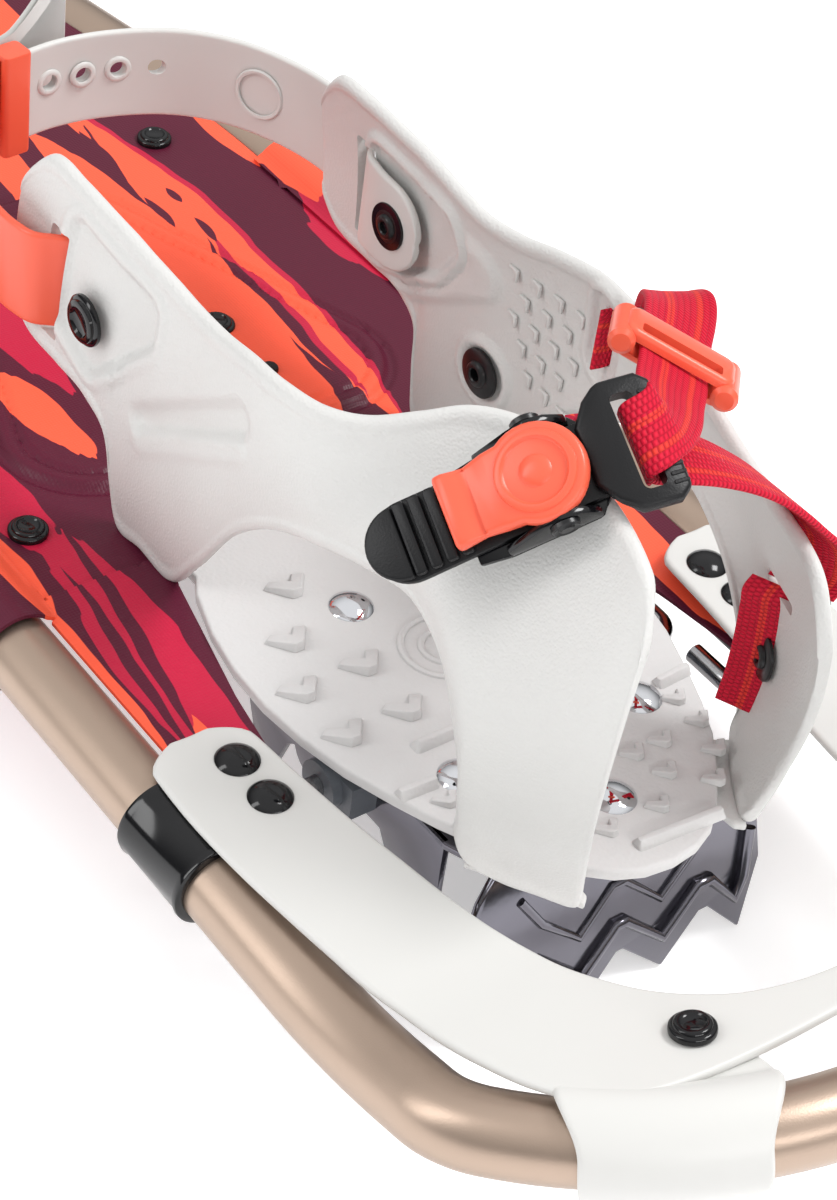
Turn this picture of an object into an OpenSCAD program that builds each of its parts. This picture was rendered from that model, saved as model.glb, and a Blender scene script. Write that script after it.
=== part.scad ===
// Recreational snowshoe, right foot. +Y toe, +X outer side, +Z up, floor plane z = 0.
// Modules are drawn round the binding; place() then centres the shoe on y = 0.

/* [Frame tube] */
// Tube outside diameter
tube_d = 19; // [16:0.5:22]
// Tube wall
tube_wall = 1.6; // [1:0.1:2.5]
// Half width between tube centre lines
rail_x = 92; // [80:1:105]
// Height of the tube centre above the floor
rail_z = 43; // [38:1:50]
// Where the nose starts to rise
rise_y = 54; // [40:1:70]
// Angle of the raised nose
nose_angle = 14; // [8:1:20]
// Where the tail starts to narrow
taper_y = -225; // [-260:5:-200]
// Taper of the tail on each side
taper_angle = 9.5; // [5:0.5:15]
// Straight length of the tapered tail
taper_length = 126.5; // [100:0.5:150]

/* [Deck] */
// Deck sheet thickness
deck_t = 1.2; // [0.8:0.1:2]
// Underside of the deck sheet
deck_z = 47.9; // [46:0.1:50]

/* [Binding] */
// Pivot position along the shoe
pivot_y = 4; // [0:1:10]
// Pivot height
pivot_z = 41; // [38:0.5:43]
// Pivot rod diameter
rod_d = 5.5; // [5:0.1:7]
// Running clearance of the pivot bush
bush_gap = 0.05; // [0.02:0.01:0.1]
// Underside of the footbed
footbed_z = 49.6; // [49.4:0.1:52]
// Footbed thickness
footbed_t = 3.6; // [3:0.1:5]
// Thickness of the moulded side wings
wing_t = 3.2; // [2.5:0.1:4]
// Height of the heel strap
strap_h = 28; // [20:1:32]

/* [Crampons] */
// Steel thickness
steel_t = 2.2; // [1.6:0.1:3]

/* [Display] */
// Node to draw

/* [Hidden] */
$fn = 64;
tube_r = tube_d / 2;
rise_r = 160;
corner_r = 26;
corner_a = 35;
corner_u = 48;
rise_u = rise_r * nose_angle * PI / 180;
front_x = rail_x - corner_r * (1 - cos(corner_a));
front_u = corner_u + corner_r * sin(corner_a);
front_r = front_x / cos(corner_a);
front_c = front_u - front_r * sin(corner_a);
nose_y = rise_y + rise_r * sin(nose_angle);
nose_z = rail_z + rise_r * (1 - cos(nose_angle));
taper_r = 300;
taper_x = rail_x - taper_r * (1 - cos(taper_angle));
taper_y2 = taper_y - taper_r * sin(taper_angle);
tail_x = taper_x - taper_length * sin(taper_angle);
tail_y = taper_y2 - taper_length * cos(taper_angle);
tail_r = tail_x / cos(taper_angle);
tail_c = tail_y + tail_r * sin(taper_angle);
deck_top = deck_z + deck_t;
footbed_top = footbed_z + footbed_t;
plate_z = 45.2;
ring_x = 77.4;
ring_in = 62;
ring_r = (ring_x - ring_in) / 2;
buckle_at = [30.6, 35.9, 147.4];
buckle_turn = [30.6, -31.5, 152.4];
frame_black = [0.06, 0.06, 0.065];
white = [0.86, 0.86, 0.85];
coral = [1, 0.38, 0.28];
red = [0.75, 0.05, 0.12];

// ---------- helpers ----------

// Brings the middle of the shoe's length to y = 0.
module place() {
  translate([0, 148, 0]) children();
}

module both_sides() {
  children();
  mirror([1, 0, 0]) children();
}

module along_y(r, y1, y2) {
  translate([0, y2, 0]) rotate([90, 0, 0]) cylinder(r = r, h = y2 - y1);
}

module along_x(r, x1, x2) {
  translate([x1, 0, 0]) rotate([0, 90, 0]) cylinder(r = r, h = x2 - x1);
}

// Puts a drawing in the plane of the raised nose: x across, y along the slope from rise_y.
module in_nose() {
  translate([0, nose_y, nose_z]) rotate([nose_angle, 0, 0]) translate([0, -rise_u, 0]) children();
}

// Half of the tube centre line, from the nose to the tail, as [point, direction].
function nose_point(x, u) = [x, nose_y + (u - rise_u) * cos(nose_angle),
  nose_z + (u - rise_u) * sin(nose_angle)];
half_path = concat(
  [for (i = [0:6]) let (a = 90 - (90 - corner_a) * i / 7)
    nose_point(front_r * cos(a), front_c + front_r * sin(a))],
  [for (i = [0:4]) let (a = corner_a * (4 - i) / 4)
    nose_point(rail_x - corner_r + corner_r * cos(a), corner_u + corner_r * sin(a))],
  [for (i = [4:-1:0]) let (a = nose_angle * i / 4)
    [rail_x, rise_y + rise_r * sin(a), rail_z + rise_r * (1 - cos(a))]],
  [[rail_x, taper_y, rail_z]],
  [for (i = [1:2]) let (a = taper_angle * i / 2)
    [rail_x - taper_r + taper_r * cos(a), taper_y - taper_r * sin(a), rail_z]],
  [for (i = [0:8]) let (a = taper_angle + (90 - taper_angle) * i / 8)
    [tail_r * cos(a), tail_c - tail_r * sin(a), rail_z]]);
half_n = len(half_path);
tube_points = concat(half_path,
  [for (i = [half_n - 2:-1:1]) [-half_path[i][0], half_path[i][1], half_path[i][2]]]);

// The solid of the given radius round the closed centre line.
module tube_path(r, sides = 20) {
  p = tube_points;
  n = len(p);
  pts = [for (i = [0:n - 1]) let (d = unit(p[(i + 1) % n] - p[(i + n - 1) % n]),
    w = unit(cross(d, [0, 0, 1])), v = cross(w, d), c = unit(p[(i + 1) % n] - p[i]),
    k = 1 / max(0.9, abs(c * d))) for (j = [0:sides - 1]) let (a = 360 * j / sides)
    p[i] + w * r * k * cos(a) + v * r * sin(a)];
  polyhedron(pts, [for (i = [0:n - 1]) for (j = [0:sides - 1]) let (a = i * sides, b = ((i + 1) % n) * sides,
    q = (j + 1) % sides) for (f = [[a + j, b + q, b + j], [a + j, a + q, b + q]]) f]);
}

// A closed sheet between an upper and a lower grid of points of the same size.
module sheet(a, b) {
  m = len(a);
  n = len(a[0]);
  pts = concat([for (i = [0:m - 1]) for (j = [0:n - 1]) a[i][j]],
    [for (i = [0:m - 1]) for (j = [0:n - 1]) b[i][j]]);
  k = m * n;
  top = [for (i = [0:m - 2]) for (j = [0:n - 2]) for (f = [
    [i * n + j, (i + 1) * n + j, (i + 1) * n + j + 1],
    [i * n + j, (i + 1) * n + j + 1, i * n + j + 1]]) f];
  bottom = [for (f = top) [f[0] + k, f[2] + k, f[1] + k]];
  loop = concat([for (j = [0:n - 1]) j], [for (i = [1:m - 1]) i * n + n - 1],
    [for (j = [n - 2:-1:0]) (m - 1) * n + j], [for (i = [m - 2:-1:1]) i * n]);
  rim = [for (q = [0:len(loop) - 1]) let (c = loop[q], d = loop[(q + 1) % len(loop)]) for (f = [
    [c, d, d + k], [c, d + k, c + k]]) f];
  polyhedron(pts, concat(top, bottom, rim));
}

// A ribbon standing on edge along a plan path.
function unit(v) = v / norm(v);
function side_of(p, i) = let (a = p[max(i - 1, 0)], b = p[min(i + 1, len(p) - 1)], d = unit(b - a))
  [-d[1], d[0]];
module ribbon(p, t, z, h) {
  translate([0, 0, z]) linear_extrude(h) polygon(concat(
    [for (i = [0:len(p) - 1]) p[i] + side_of(p, i) * t / 2],
    [for (i = [len(p) - 1:-1:0]) p[i] - side_of(p, i) * t / 2]));
}

module dome(r, h) {
  rr = (r * r + h * h) / (2 * h);
  intersection() {
    translate([0, 0, h - rr]) sphere(r = rr);
    cylinder(r = r + 1, h = h + 1);
  }
}

// ---------- frame ----------

module frame_tube() {
  color([0.74, 0.64, 0.57]) difference() {
    tube_path(tube_r);
    tube_path(tube_r - tube_wall);
  }
}

// Plan outline of the tube centre line moved inward.
function tail_outline(o) = concat(
  [[rail_x - o, 30], [rail_x - o, taper_y]],
  [for (i = [1:4]) let (a = taper_angle * i / 4)
    [rail_x - taper_r + (taper_r - o) * cos(a), taper_y - (taper_r - o) * sin(a)]],
  [for (i = [0:12]) let (a = taper_angle + (90 - taper_angle) * i / 12)
    [(tail_r - o) * cos(a), tail_c - (tail_r - o) * sin(a)]]);

module deck_plan() {
  half = tail_outline(8.45);
  difference() {
    polygon(concat(half, [for (i = [len(half) - 2:-1:0]) [-half[i][0], half[i][1]]]));
    polygon([[-66, 31], [-62, 0], [-58, -24], [-48, -66], [-42, -78],
      [42, -78], [48, -66], [58, -24], [62, 0], [66, 31]]);
    both_sides() {
      translate([80.5, -7]) square([10, 40]);
      translate([24, -131]) square([5, 9], center = true);
    }
    deck_holes();
  }
}

rivet_spots = [[70, -104], [60, -250]];
crampon_spots = [[22, -156], [22, -104]];
lug_spots = [[74, 0], [74, 14]];

module deck_holes() {
  for (p = concat(rivet_spots, crampon_spots, lug_spots))
    both_sides() translate(p) circle(r = 2.65);
}

module deck() {
  color([0.42, 0.16, 0.24]) {
    translate([0, 0, deck_z]) linear_extrude(deck_t) deck_plan();
    both_sides() translate([rail_x, 0, rail_z]) difference() {
      along_y(tube_r + 1.3, taper_y + 0.5, -70);
      along_y(tube_r + 0.1, taper_y - 1, -69);
    }
  }
}

module rivet(z1, z2, r = 5.4) {
  translate([0, 0, z1]) cylinder(r = 2.5, h = z2 - z1);
  translate([0, 0, z2]) cylinder(r = r, h = 1.5);
  translate([0, 0, z2 + 1.5]) cylinder(r = r - 1.1, h = 1);
  translate([0, 0, z1 - 1.2]) cylinder(r = 3.6, h = 1.2);
}

module deck_rivets() {
  color(frame_black) both_sides() for (p = rivet_spots)
    translate(p) rivet(deck_z, deck_top);
}

module heel_tie() {
  color(frame_black) {
    translate([-26, -133.5, deck_top]) cube([52, 5, 3]);
    both_sides() translate([22.2, -133.5, deck_z - 1.4]) cube([3.6, 5, 3]);
  }
}

function strap_z(y) = y < rise_y ? rail_z : y < nose_y
  ? rail_z + rise_r - sqrt(rise_r * rise_r - (y - rise_y) * (y - rise_y))
  : nose_z + (y - nose_y) * tan(nose_angle);

// Stations of the nose strap: y, inner x, outer x, how much further back the outer edge lies.
function strap_point(r, u, lift) = let (x = r[1] + (r[2] - r[1]) * u, y = r[0] + r[3] * u)
  [x, y, strap_z(y) + lift];

module nose_strap() {
  color(white) {
    rows = [[-13, 68, 91, 0], [-9, 65.5, 93, 0], [10, 63.5, 94, 0], [30, 61, 93, 0], [48, 58, 91, 0],
      [60, 56, 89.5, 0], [72, 54, 88.5, 0], [84, 51.5, 87, 0], [94, 49, 86, 1], [103, 45, 84, 3],
      [111, 40, 80, 8], [118, 33, 73, 12], [124, 24, 59, 13], [128, 12, 34, 12], [129.5, 0, 0, 11]];
    up = [for (r = rows) [for (u = [0:0.25:1]) strap_point(r, u, tube_r + 4.4)]];
    low = [for (r = rows) [for (u = [0:0.25:1]) strap_point(r, u, tube_r + 1.9)]];
    difference() {
      union() {
        sheet(up, low);
        mirror([1, 0, 0]) sheet(up, low);
      }
      for (p = lug_spots) both_sides() translate([p[0], p[1], 40]) cylinder(r = 2.65, h = 40);
      in_nose() both_sides() translate([43, 78, -5]) cylinder(r = 2.65, h = 30);
    }
    both_sides() in_nose() translate([0, front_c, 0]) rotate([0, 0, 46]) difference() {
      rotate_extrude(angle = 20) translate([front_r, 0]) circle(r = tube_r + 2.6);
      rotate([0, 0, -1]) rotate_extrude(angle = 22) translate([front_r, 0]) circle(r = tube_r + 0.35);
    }
  }
}

module nose_strap_rivets() {
  color(frame_black) both_sides() in_nose() translate([43, 78, 0])
    rivet(tube_r + 0.6, tube_r + 4.6, 5.6);
}

module lug_rivets() {
  color(frame_black) both_sides() for (p = lug_spots) translate([p[0], p[1], 0]) {
    translate([0, 0, deck_z - 1.3]) cylinder(r = 4.2, h = 1.3);
    translate([0, 0, deck_z]) cylinder(r = 2.5, h = rail_z + tube_r + 4.5 - deck_z);
    translate([0, 0, rail_z + tube_r + 4.5]) dome(5.6, 2.2);
  }
}

module toe_cord_band() {
  color(frame_black) difference() {
    union() {
      translate([rail_x, 0, rail_z]) along_y(tube_r + 1.7, -5, 21);
      translate([ring_x, 0, pivot_z]) along_y(4.6, -5, 21);
      translate([ring_x, -5, pivot_z - 3.4]) cube([6, 26, 6.8]);
    }
    translate([rail_x, 0, rail_z]) along_y(tube_r + 0.02, -6, 22);
    translate([ring_x, 0, pivot_z]) along_y(rod_d / 2 + 0.02, -6, 22);
  }
}

module toe_cord_band_outer() {
  toe_cord_band();
}

module toe_cord_band_inner() {
  mirror([1, 0, 0]) toe_cord_band();
}

// Bent rod: a stub through the bush, an inner leg, a loop through the band and a cut end.
module d_ring() {
  r = rod_d / 2;
  color([0.6, 0.6, 0.62]) translate([0, 0, pivot_z]) {
    translate([0, pivot_y, 0]) along_x(r, 36, ring_in - 6);
    translate([ring_in - 6, pivot_y - 6, 0]) rotate_extrude(angle = 90) translate([6, 0]) circle(r = r);
    translate([ring_in, 0, 0]) along_y(r, -10, pivot_y - 6);
    translate([ring_in + ring_r, -10, 0]) rotate([0, 0, 180])
      rotate_extrude(angle = 180) translate([ring_r, 0]) circle(r = r);
    translate([ring_x, 0, 0]) along_y(r, -10, 24);
    translate([ring_in + ring_r, 24, 0]) rotate_extrude(angle = 180) translate([ring_r, 0]) circle(r = r);
    translate([ring_in, 0, 0]) along_y(r, 13, 24);
  }
}

module d_ring_outer() {
  d_ring();
}

module d_ring_inner() {
  mirror([1, 0, 0]) d_ring();
}

module heel_crampon() {
  color([0.2, 0.19, 0.22]) difference() {
    union() {
      translate([-28, -166, deck_z - steel_t]) cube([56, 72, steel_t]);
      both_sides() translate([28, 0, 0]) rotate([90, 0, -90]) linear_extrude(steel_t)
        polygon([[94, 47.9], [94, 38], [100, 3], [107, 24], [115, 3], [122, 24], [130, 3], [138, 24],
          [146, 3], [153, 24], [161, 3], [166, 38], [166, 47.9]]);
    }
    for (p = crampon_spots) both_sides() translate([p[0], p[1], 40]) cylinder(r = 2.65, h = 20);
    both_sides() translate([20, -136, 40]) cube([10, 10, 20]);
  }
}

module heel_crampon_rivets() {
  color(frame_black) both_sides() for (p = crampon_spots)
    translate(p) rivet(deck_z - steel_t, deck_top);
}

// ---------- binding ----------

footbed_edge = [[0, 75.5], [8, 74.5], [15, 71.5], [21, 66.5], [29, 57.5], [36.5, 47], [41.5, 37],
  [46, 26], [51, 12], [54, -2], [55.5, -16], [55, -30], [52.5, -44], [48, -58], [44.5, -64],
  [44, -80], [42, -91], [38, -97], [0, -98]];
footbed_spots = [[28, 28], [16, -35]];

module footbed_plan() {
  n = len(footbed_edge);
  polygon(concat(footbed_edge, [for (i = [n - 2:-1:1]) [-footbed_edge[i][0], footbed_edge[i][1]]]));
}

module chevron(x, y, a) {
  translate([x, y, footbed_top - 0.4]) rotate([0, 0, a]) linear_extrude(2.6)
    polygon([[0, 0], [5, 4], [5, 6.5], [-1.5, 2.2], [-1.5, -2.2], [5, -6.5], [5, -4]]);
}

module footbed() {
  color([0.8, 0.8, 0.79]) {
    difference() {
      translate([0, 0, footbed_z]) linear_extrude(footbed_t) footbed_plan();
      for (p = footbed_spots) both_sides() translate([p[0], p[1], 40]) cylinder(r = 2.65, h = 20);
      translate([0, 52, 40]) cylinder(r = 2.65, h = 20);
    }
    for (s = [-1, 1]) {
      chevron(s * 27, -46, 90 - s * 60);
      chevron(s * 36, -32, 90 - s * 60);
      chevron(s * 40, -14, 90 - s * 60);
      chevron(s * 24, -4, 90 - s * 60);
      chevron(s * 44, 4, 90 - s * 60);
      translate([s * 24, 12, footbed_top - 0.4]) rotate([0, 0, -s * 8]) translate([-15, 0, 0])
        cube([30, 4, 2.4]);
      translate([s * 16, 63, footbed_top - 0.4]) rotate([0, 0, -s * 12]) translate([-9, 0, 0])
        cube([18, 3.4, 2.4]);
    }
  }
}

module footbed_rivets() {
  color([0.8, 0.8, 0.82]) for (p = concat([[0, 52]], [for (s = [-1, 1]) for (q = footbed_spots) [s * q[0], q[1]]]))
    translate(p) {
      translate([0, 0, plate_z - 1.5]) cylinder(r = 4, h = 1.5);
      translate([0, 0, plate_z]) cylinder(r = 2.5, h = footbed_top - plate_z);
      translate([0, 0, footbed_top]) dome(5.9, 2.1);
    }
}

module toe_crampon() {
  t = steel_t;
  color([0.22, 0.2, 0.24]) difference() {
    union() {
      translate([0, 0, plate_z]) linear_extrude(t) polygon([[-41, -42], [41, -42], [41, 40], [34, 56.5],
        [-34, 56.5], [-41, 40]]);
      translate([0, 54.5, 47.3]) rotate([107, 0, 0]) mirror([0, 1, 0]) linear_extrude(t)
        polygon([[-37, 0], [37, 0], [47, 14], [46, 30], [39, 48.6], [29, 38], [26, 38], [13, 48.6],
          [1, 38], [-1, 38], [-13, 48.6], [-26, 38], [-29, 38], [-39, 48.6], [-46, 30], [-47, 14]]);
      both_sides() translate([41, 0, 0]) rotate([90, 0, -90]) linear_extrude(t)
        polygon([[42, plate_z + t], [42, 30], [36, 14], [28, 14], [22, 31], [6, 31], [-8, 31],
          [-16, 31], [-22, 22], [-34, 16], [-40, 20], [-40, plate_z + t]]);
    }
    for (p = footbed_spots) both_sides() translate([p[0], p[1], 40]) cylinder(r = 2.65, h = 20);
    translate([0, 52, 40]) cylinder(r = 2.65, h = 20);
    translate([0, 52, 40]) cylinder(r = 4.1, h = 5.2);
    translate([0, pivot_y, pivot_z]) along_x(rod_d / 2 + bush_gap, -60, 60);
    translate([0, 28, 20]) along_x(7, -60, 60);
  }
}

module bush(s) {
  color([0.45, 0.46, 0.48]) mirror([s < 0 ? 1 : 0, 0, 0]) translate([0, pivot_y, pivot_z]) difference() {
    union() {
      along_x(6.6, 41.1, 52);
      translate([41.1, -4, -5]) cube([8, 14, 10]);
    }
    along_x(rod_d / 2 + bush_gap, 30, 60);
  }
}

module bush_outer() {
  bush(1);
}

module bush_inner() {
  bush(-1);
}

// Wing stations: top edge, bottom edge, outward and forward bulge half way down.
wing_rear = [
  [[45, -146, 133], [49.5, -145, 88], 1, -3],
  [[44, -139, 136.5], [50, -138, 85], 1.5, 0],
  [[44, -124, 137], [50, -122, 83.5], 2, 0],
  [[44, -109, 136], [50, -108, 82], 2, 0],
  [[44, -101, 135.5], [49.4, -99.5, 76], 2, 0],
  [[44, -97, 135], [48.6, -97, 62], 2, 0],
  [[44, -93, 134.5], [48, -94, 50], 2, 0],
  [[43.5, -82, 133], [48, -82, 50], 2.5, 0],
  [[43.5, -72, 132], [48, -68, 50], 3, 0],
  [[44.5, -60, 133], [48.5, -57, 63], 3, 0],
  [[46, -46, 136], [48, -43, 84], 2.5, 0],
  [[47, -32, 138], [48, -28, 97], 2, 0]];
wing_front_outer = [
  [[45, -18, 139.5], [47, -12, 104], 2, 0],
  [[40, -8, 142], [43, 4, 106.5], 3, 0],
  [[33, 1, 147], [39, 17, 105], 5, 0],
  [[26, 9, 151.5], [39, 29, 98], 7, 0],
  [[20, 20, 153.5], [40.5, 38, 87], 9, 0],
  [[18, 33, 153], [41.5, 45, 72], 10, 0],
  [[19, 48, 152.5], [42, 49, 52], 9, 0],
  [[21, 60, 150.5], [36.2, 56.5, 48], 9, 1],
  [[23.5, 70, 147], [31, 64, 48], 8, 3],
  [[24.5, 75, 141], [25.6, 72.5, 48], 7, 4]];
wing_front_inner = [
  [[45, -18, 139], [47, -12, 104], 2, 0],
  [[43.5, -5, 139.5], [46, 4, 106.5], 3, 0],
  [[41, 6, 139], [44, 17, 105], 4, 0],
  [[39, 18, 137], [42.5, 29, 98], 5, 0],
  [[37, 30, 134], [42, 38, 87], 6, 0],
  [[35, 42, 132], [42, 45, 72], 6, 0],
  [[33, 54, 130.5], [42, 49, 52], 6, 0],
  [[31, 64, 129], [36.2, 56.5, 48], 6, 1],
  [[28.5, 72, 127], [31, 64, 48], 5, 3],
  [[27, 77, 122], [25.6, 72.5, 48], 6, 3]];

wing_steps = 7;
function wing_at(r, k) = let (t = k / wing_steps, b = 4 * t * (1 - t))
  r[0] * (1 - t) + r[1] * t + [r[2] * b, r[3] * b, 0];

module wing_sheet(rows) {
  a = [for (r = rows) [for (k = [0:wing_steps]) wing_at(r, k) + [wing_t / 2, 0, 0]]];
  b = [for (r = rows) [for (k = [0:wing_steps]) wing_at(r, k) - [wing_t / 2, 0, 0]]];
  difference() {
    sheet(a, b);
    translate([40, -132.5, 90]) cube([20, 10.5, 32]);
    translate([30, -110, 106]) along_x(2.65, 0, 40);
    children();
  }
  translate([0, 0, 47.5]) linear_extrude(2)
    polygon([[42, 48.5], [25.4, 73.5], [23, 71.5], [20, 40], [24, 34], [32, 34], [37.5, 46]]);
}

module wing_outer() {
  color(white) difference() {
    wing_sheet(concat(wing_rear, wing_front_outer));
    translate([28, 28, 40]) cylinder(r = 2.65, h = 14);
  }
}

module wing_inner() {
  color(white) mirror([1, 0, 0]) difference() {
    wing_sheet(concat(wing_rear, wing_front_inner)) {
      translate([30, -69, 83]) along_x(2.65, 0, 40);
      translate([30, -29, 113]) cube([40, 5, 23]);
      mirror([1, 0, 0]) patch_screw_axis() along_x(2.65, -20, 12);
      translate([30, 46, 101.5]) cube([40, 15, 4]);
    }
    translate([28, 28, 40]) cylinder(r = 2.65, h = 14);
  }
}

rear_loop = [[-43.9, -102], [-44, -119], [-45.2, -124], [-49.5, -128.2], [-53.8, -131.8], [-55.6, -138],
  [-56, -150], [-55.5, -162], [-52, -176], [-45, -190], [-34, -201], [-18, -208], [0, -210.5], [16, -208.5]];
near_loop = [[24, -209.5], [36, -202], [46, -190.5], [52.5, -176], [55.7, -162], [56, -150],
  [55.6, -138], [53.8, -131.8], [49.5, -128.2], [45.2, -124], [44, -119], [43.9, -102]];

// Where the screw of the webbing patch goes through the inner wing.
module patch_screw_axis() {
  translate([-43.8, 54.5, 82]) rotate([0, 0, -25]) children();
}

module heel_strap() {
  color(white) difference() {
    ribbon(rear_loop, 2.2, 92, strap_h);
    translate([-60, -110, 106]) along_x(2.65, 0, 40);
    for (i = [0:4]) translate([-28 + 10.6 * i, -200, 106]) rotate([90, 0, 0])
      cylinder(r = 2.4, h = 30, center = true);
  }
}

module side_strap() {
  color(coral) difference() {
    ribbon(near_loop, 2.2, 92, strap_h);
    translate([20, -110, 106]) along_x(2.65, 0, 40);
  }
}

module heel_keeper() {
  color(coral) translate([16.5, -208.4, 90]) rotate([0, 0, 6]) difference() {
    translate([-4.5, -4, 0]) cube([9, 8, 32]);
    translate([-6, -1.6, 1.6]) cube([12, 3.2, 28.8]);
  }
}

module wing_rivets() {
  color(frame_black) both_sides() translate([0, -110, 106]) {
    along_x(2.5, 42.6, 51.7);
    along_x(7, 51.7, 53.9);
    along_x(5.6, 53.9, 55);
    along_x(6.6, 41.4, 42.6);
  }
}

module wing_screws() {
  color(frame_black) {
    translate([0, -69, 83]) {
      along_x(2.5, -54, -46.8);
      along_x(7, -46.8, -45.4);
      along_x(6.4, -54, -51.4);
    }
    patch_screw_axis() {
      along_x(2.5, -3.3, 6.1);
      along_x(4.8, 5.1, 6.2);
      along_x(5.2, -3.5, -2.2);
    }
  }
}

// Upper run of webbing: from beside the ring up and over the top of the inner wing.
glide_turn = [11, -20, -49.5];
glide_at = [-20, 21.3, 155.5];

module webbing_upper() {
  color(red) translate(glide_at) rotate(glide_turn) translate([-10, -38, -1.6]) cube([20, 62, 3.2]);
}

module webbing_lower() {
  color(red) translate([-23, 59, 146]) rotate([-40, 24, 195]) translate([-18, -10, -0.8])
    cube([36, 20, 1.6]);
}

// A point of the inner wing at a height z, from one of its stations, moved toward the foot.
function wing_level(r, z, off) = let (t = (r[0][2] - z) / (r[0][2] - r[1][2]), b = 4 * t * (1 - t))
  r[0] * (1 - t) + r[1] * t + [r[2] * b - off, r[3] * b, 0];

module webbing_patch() {
  rows = [wing_front_inner[5] * 0.7 + wing_front_inner[6] * 0.3, wing_front_inner[6],
    wing_front_inner[6] * 0.5 + wing_front_inner[7] * 0.5, wing_front_inner[7]];
  color(red) difference() {
    mirror([1, 0, 0]) sheet(
      [for (r = rows) [for (z = [100, 92, 83.5, 75, 67]) wing_level(r, z, wing_t / 2 + 0.3)]],
      [for (r = rows) [for (z = [100, 92, 83.5, 75, 67]) wing_level(r, z, wing_t / 2 + 1.7)]]);
    patch_screw_axis() along_x(2.65, -20, 12);
  }
}

module tri_glide() {
  color(coral) translate(glide_at) rotate(glide_turn) difference() {
    translate([-13.5, -6, -4]) cube([27, 12, 8.4]);
    translate([-10.6, -7, -2]) cube([21.2, 14, 4]);
  }
}

module buckle_frame() {
  translate(buckle_at) rotate(buckle_turn) children();
}

module buckle_base() {
  color(frame_black) buckle_frame() difference() {
    union() {
      translate([-15, -12, 0]) cube([24, 24, 1.8]);
      for (s = [-1, 1]) translate([-8, s * 11 - 1, 0]) cube([17, 2, 8.5]);
      translate([6, 0, 7]) rotate([90, 0, 0]) cylinder(r = 3, h = 24, center = true);
    }
    translate([-20, -9.8, 1.8]) cube([40, 19.6, 20]);
    translate([6, 0, 7]) rotate([90, 0, 0]) cylinder(r = 1.55, h = 40, center = true);
    translate([-10, 0, -5]) cylinder(r = 1.6, h = 10);
  }
}

module buckle_rivets() {
  color(frame_black) buckle_frame() translate([-10, 0, 0]) {
    cylinder(r = 1.55, h = 1.8);
    translate([0, 0, 1.8]) cylinder(r = 3, h = 0.6);
  }
}

module lever_pin() {
  color([0.1, 0.1, 0.11]) buckle_frame() translate([6, 0, 7]) rotate([90, 0, 0]) {
    cylinder(r = 1.5, h = 24.4, center = true);
    for (s = [-1, 1]) translate([0, 0, s * 12.7]) cylinder(r = 3, h = 1, center = true);
  }
}

module buckle_lever() {
  color(coral) buckle_frame() difference() {
    union() {
      translate([6, 0, 7.4]) rotate([90, 0, 0]) cylinder(r = 2.9, h = 18.8, center = true);
      translate([-17, -8.6, 7.3]) cube([24, 17.2, 3.4]);
      translate([5, 0, 10.3]) cylinder(r = 11, h = 2.4);
      translate([-4, -8.6, 9.2]) cube([11, 17.2, 3]);
    }
    translate([6, 0, 7]) rotate([90, 0, 0]) cylinder(r = 1.56, h = 40, center = true);
  }
}

module ladder_strap() {
  color(frame_black) buckle_frame() difference() {
    union() {
      translate([-28, -9, 2.7]) cube([49, 18, 1.5]);
      translate([-28, 0, 2.7]) cylinder(r = 9, h = 1.5);
      for (i = [0:4]) translate([-34 + 3.6 * i, -7.5, 4]) cube([2, 15, 1.3]);
      translate([18, -15, 2.5]) cube([14.5, 30, 3.3]);
    }
    translate([23, -11.2, 0]) cube([5.5, 22.4, 10]);
  }
}

place() frame_tube();
place() deck();
place() deck_rivets();
place() heel_tie();
place() nose_strap();
place() nose_strap_rivets();
place() lug_rivets();
place() toe_cord_band_outer();
place() toe_cord_band_inner();
place() d_ring_outer();
place() d_ring_inner();
place() heel_crampon();
place() heel_crampon_rivets();
place() footbed();
place() footbed_rivets();
place() toe_crampon();
place() bush_outer();
place() bush_inner();
place() wing_outer();
place() wing_inner();
place() heel_strap();
place() side_strap();
place() heel_keeper();
place() wing_rivets();
place() wing_screws();
place() webbing_upper();
place() webbing_lower();
place() webbing_patch();
place() tri_glide();
place() buckle_base();
place() buckle_rivets();
place() lever_pin();
place() buckle_lever();
place() ladder_strap();
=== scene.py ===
# %% [markdown]
# # A snowshoe with a moulded strap binding
# The real shoe is a bent aluminium tube with a printed sheet stretched in it, a steel
# crampon on a pivot, and a soft moulded binding. The engineering model gives sizes and
# joints; this lesson gives each piece the form and finish that the eye expects.

# %% Load the fixed frame
import bpy
import math
import numpy as np
from mathutils import Matrix, Vector


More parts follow.
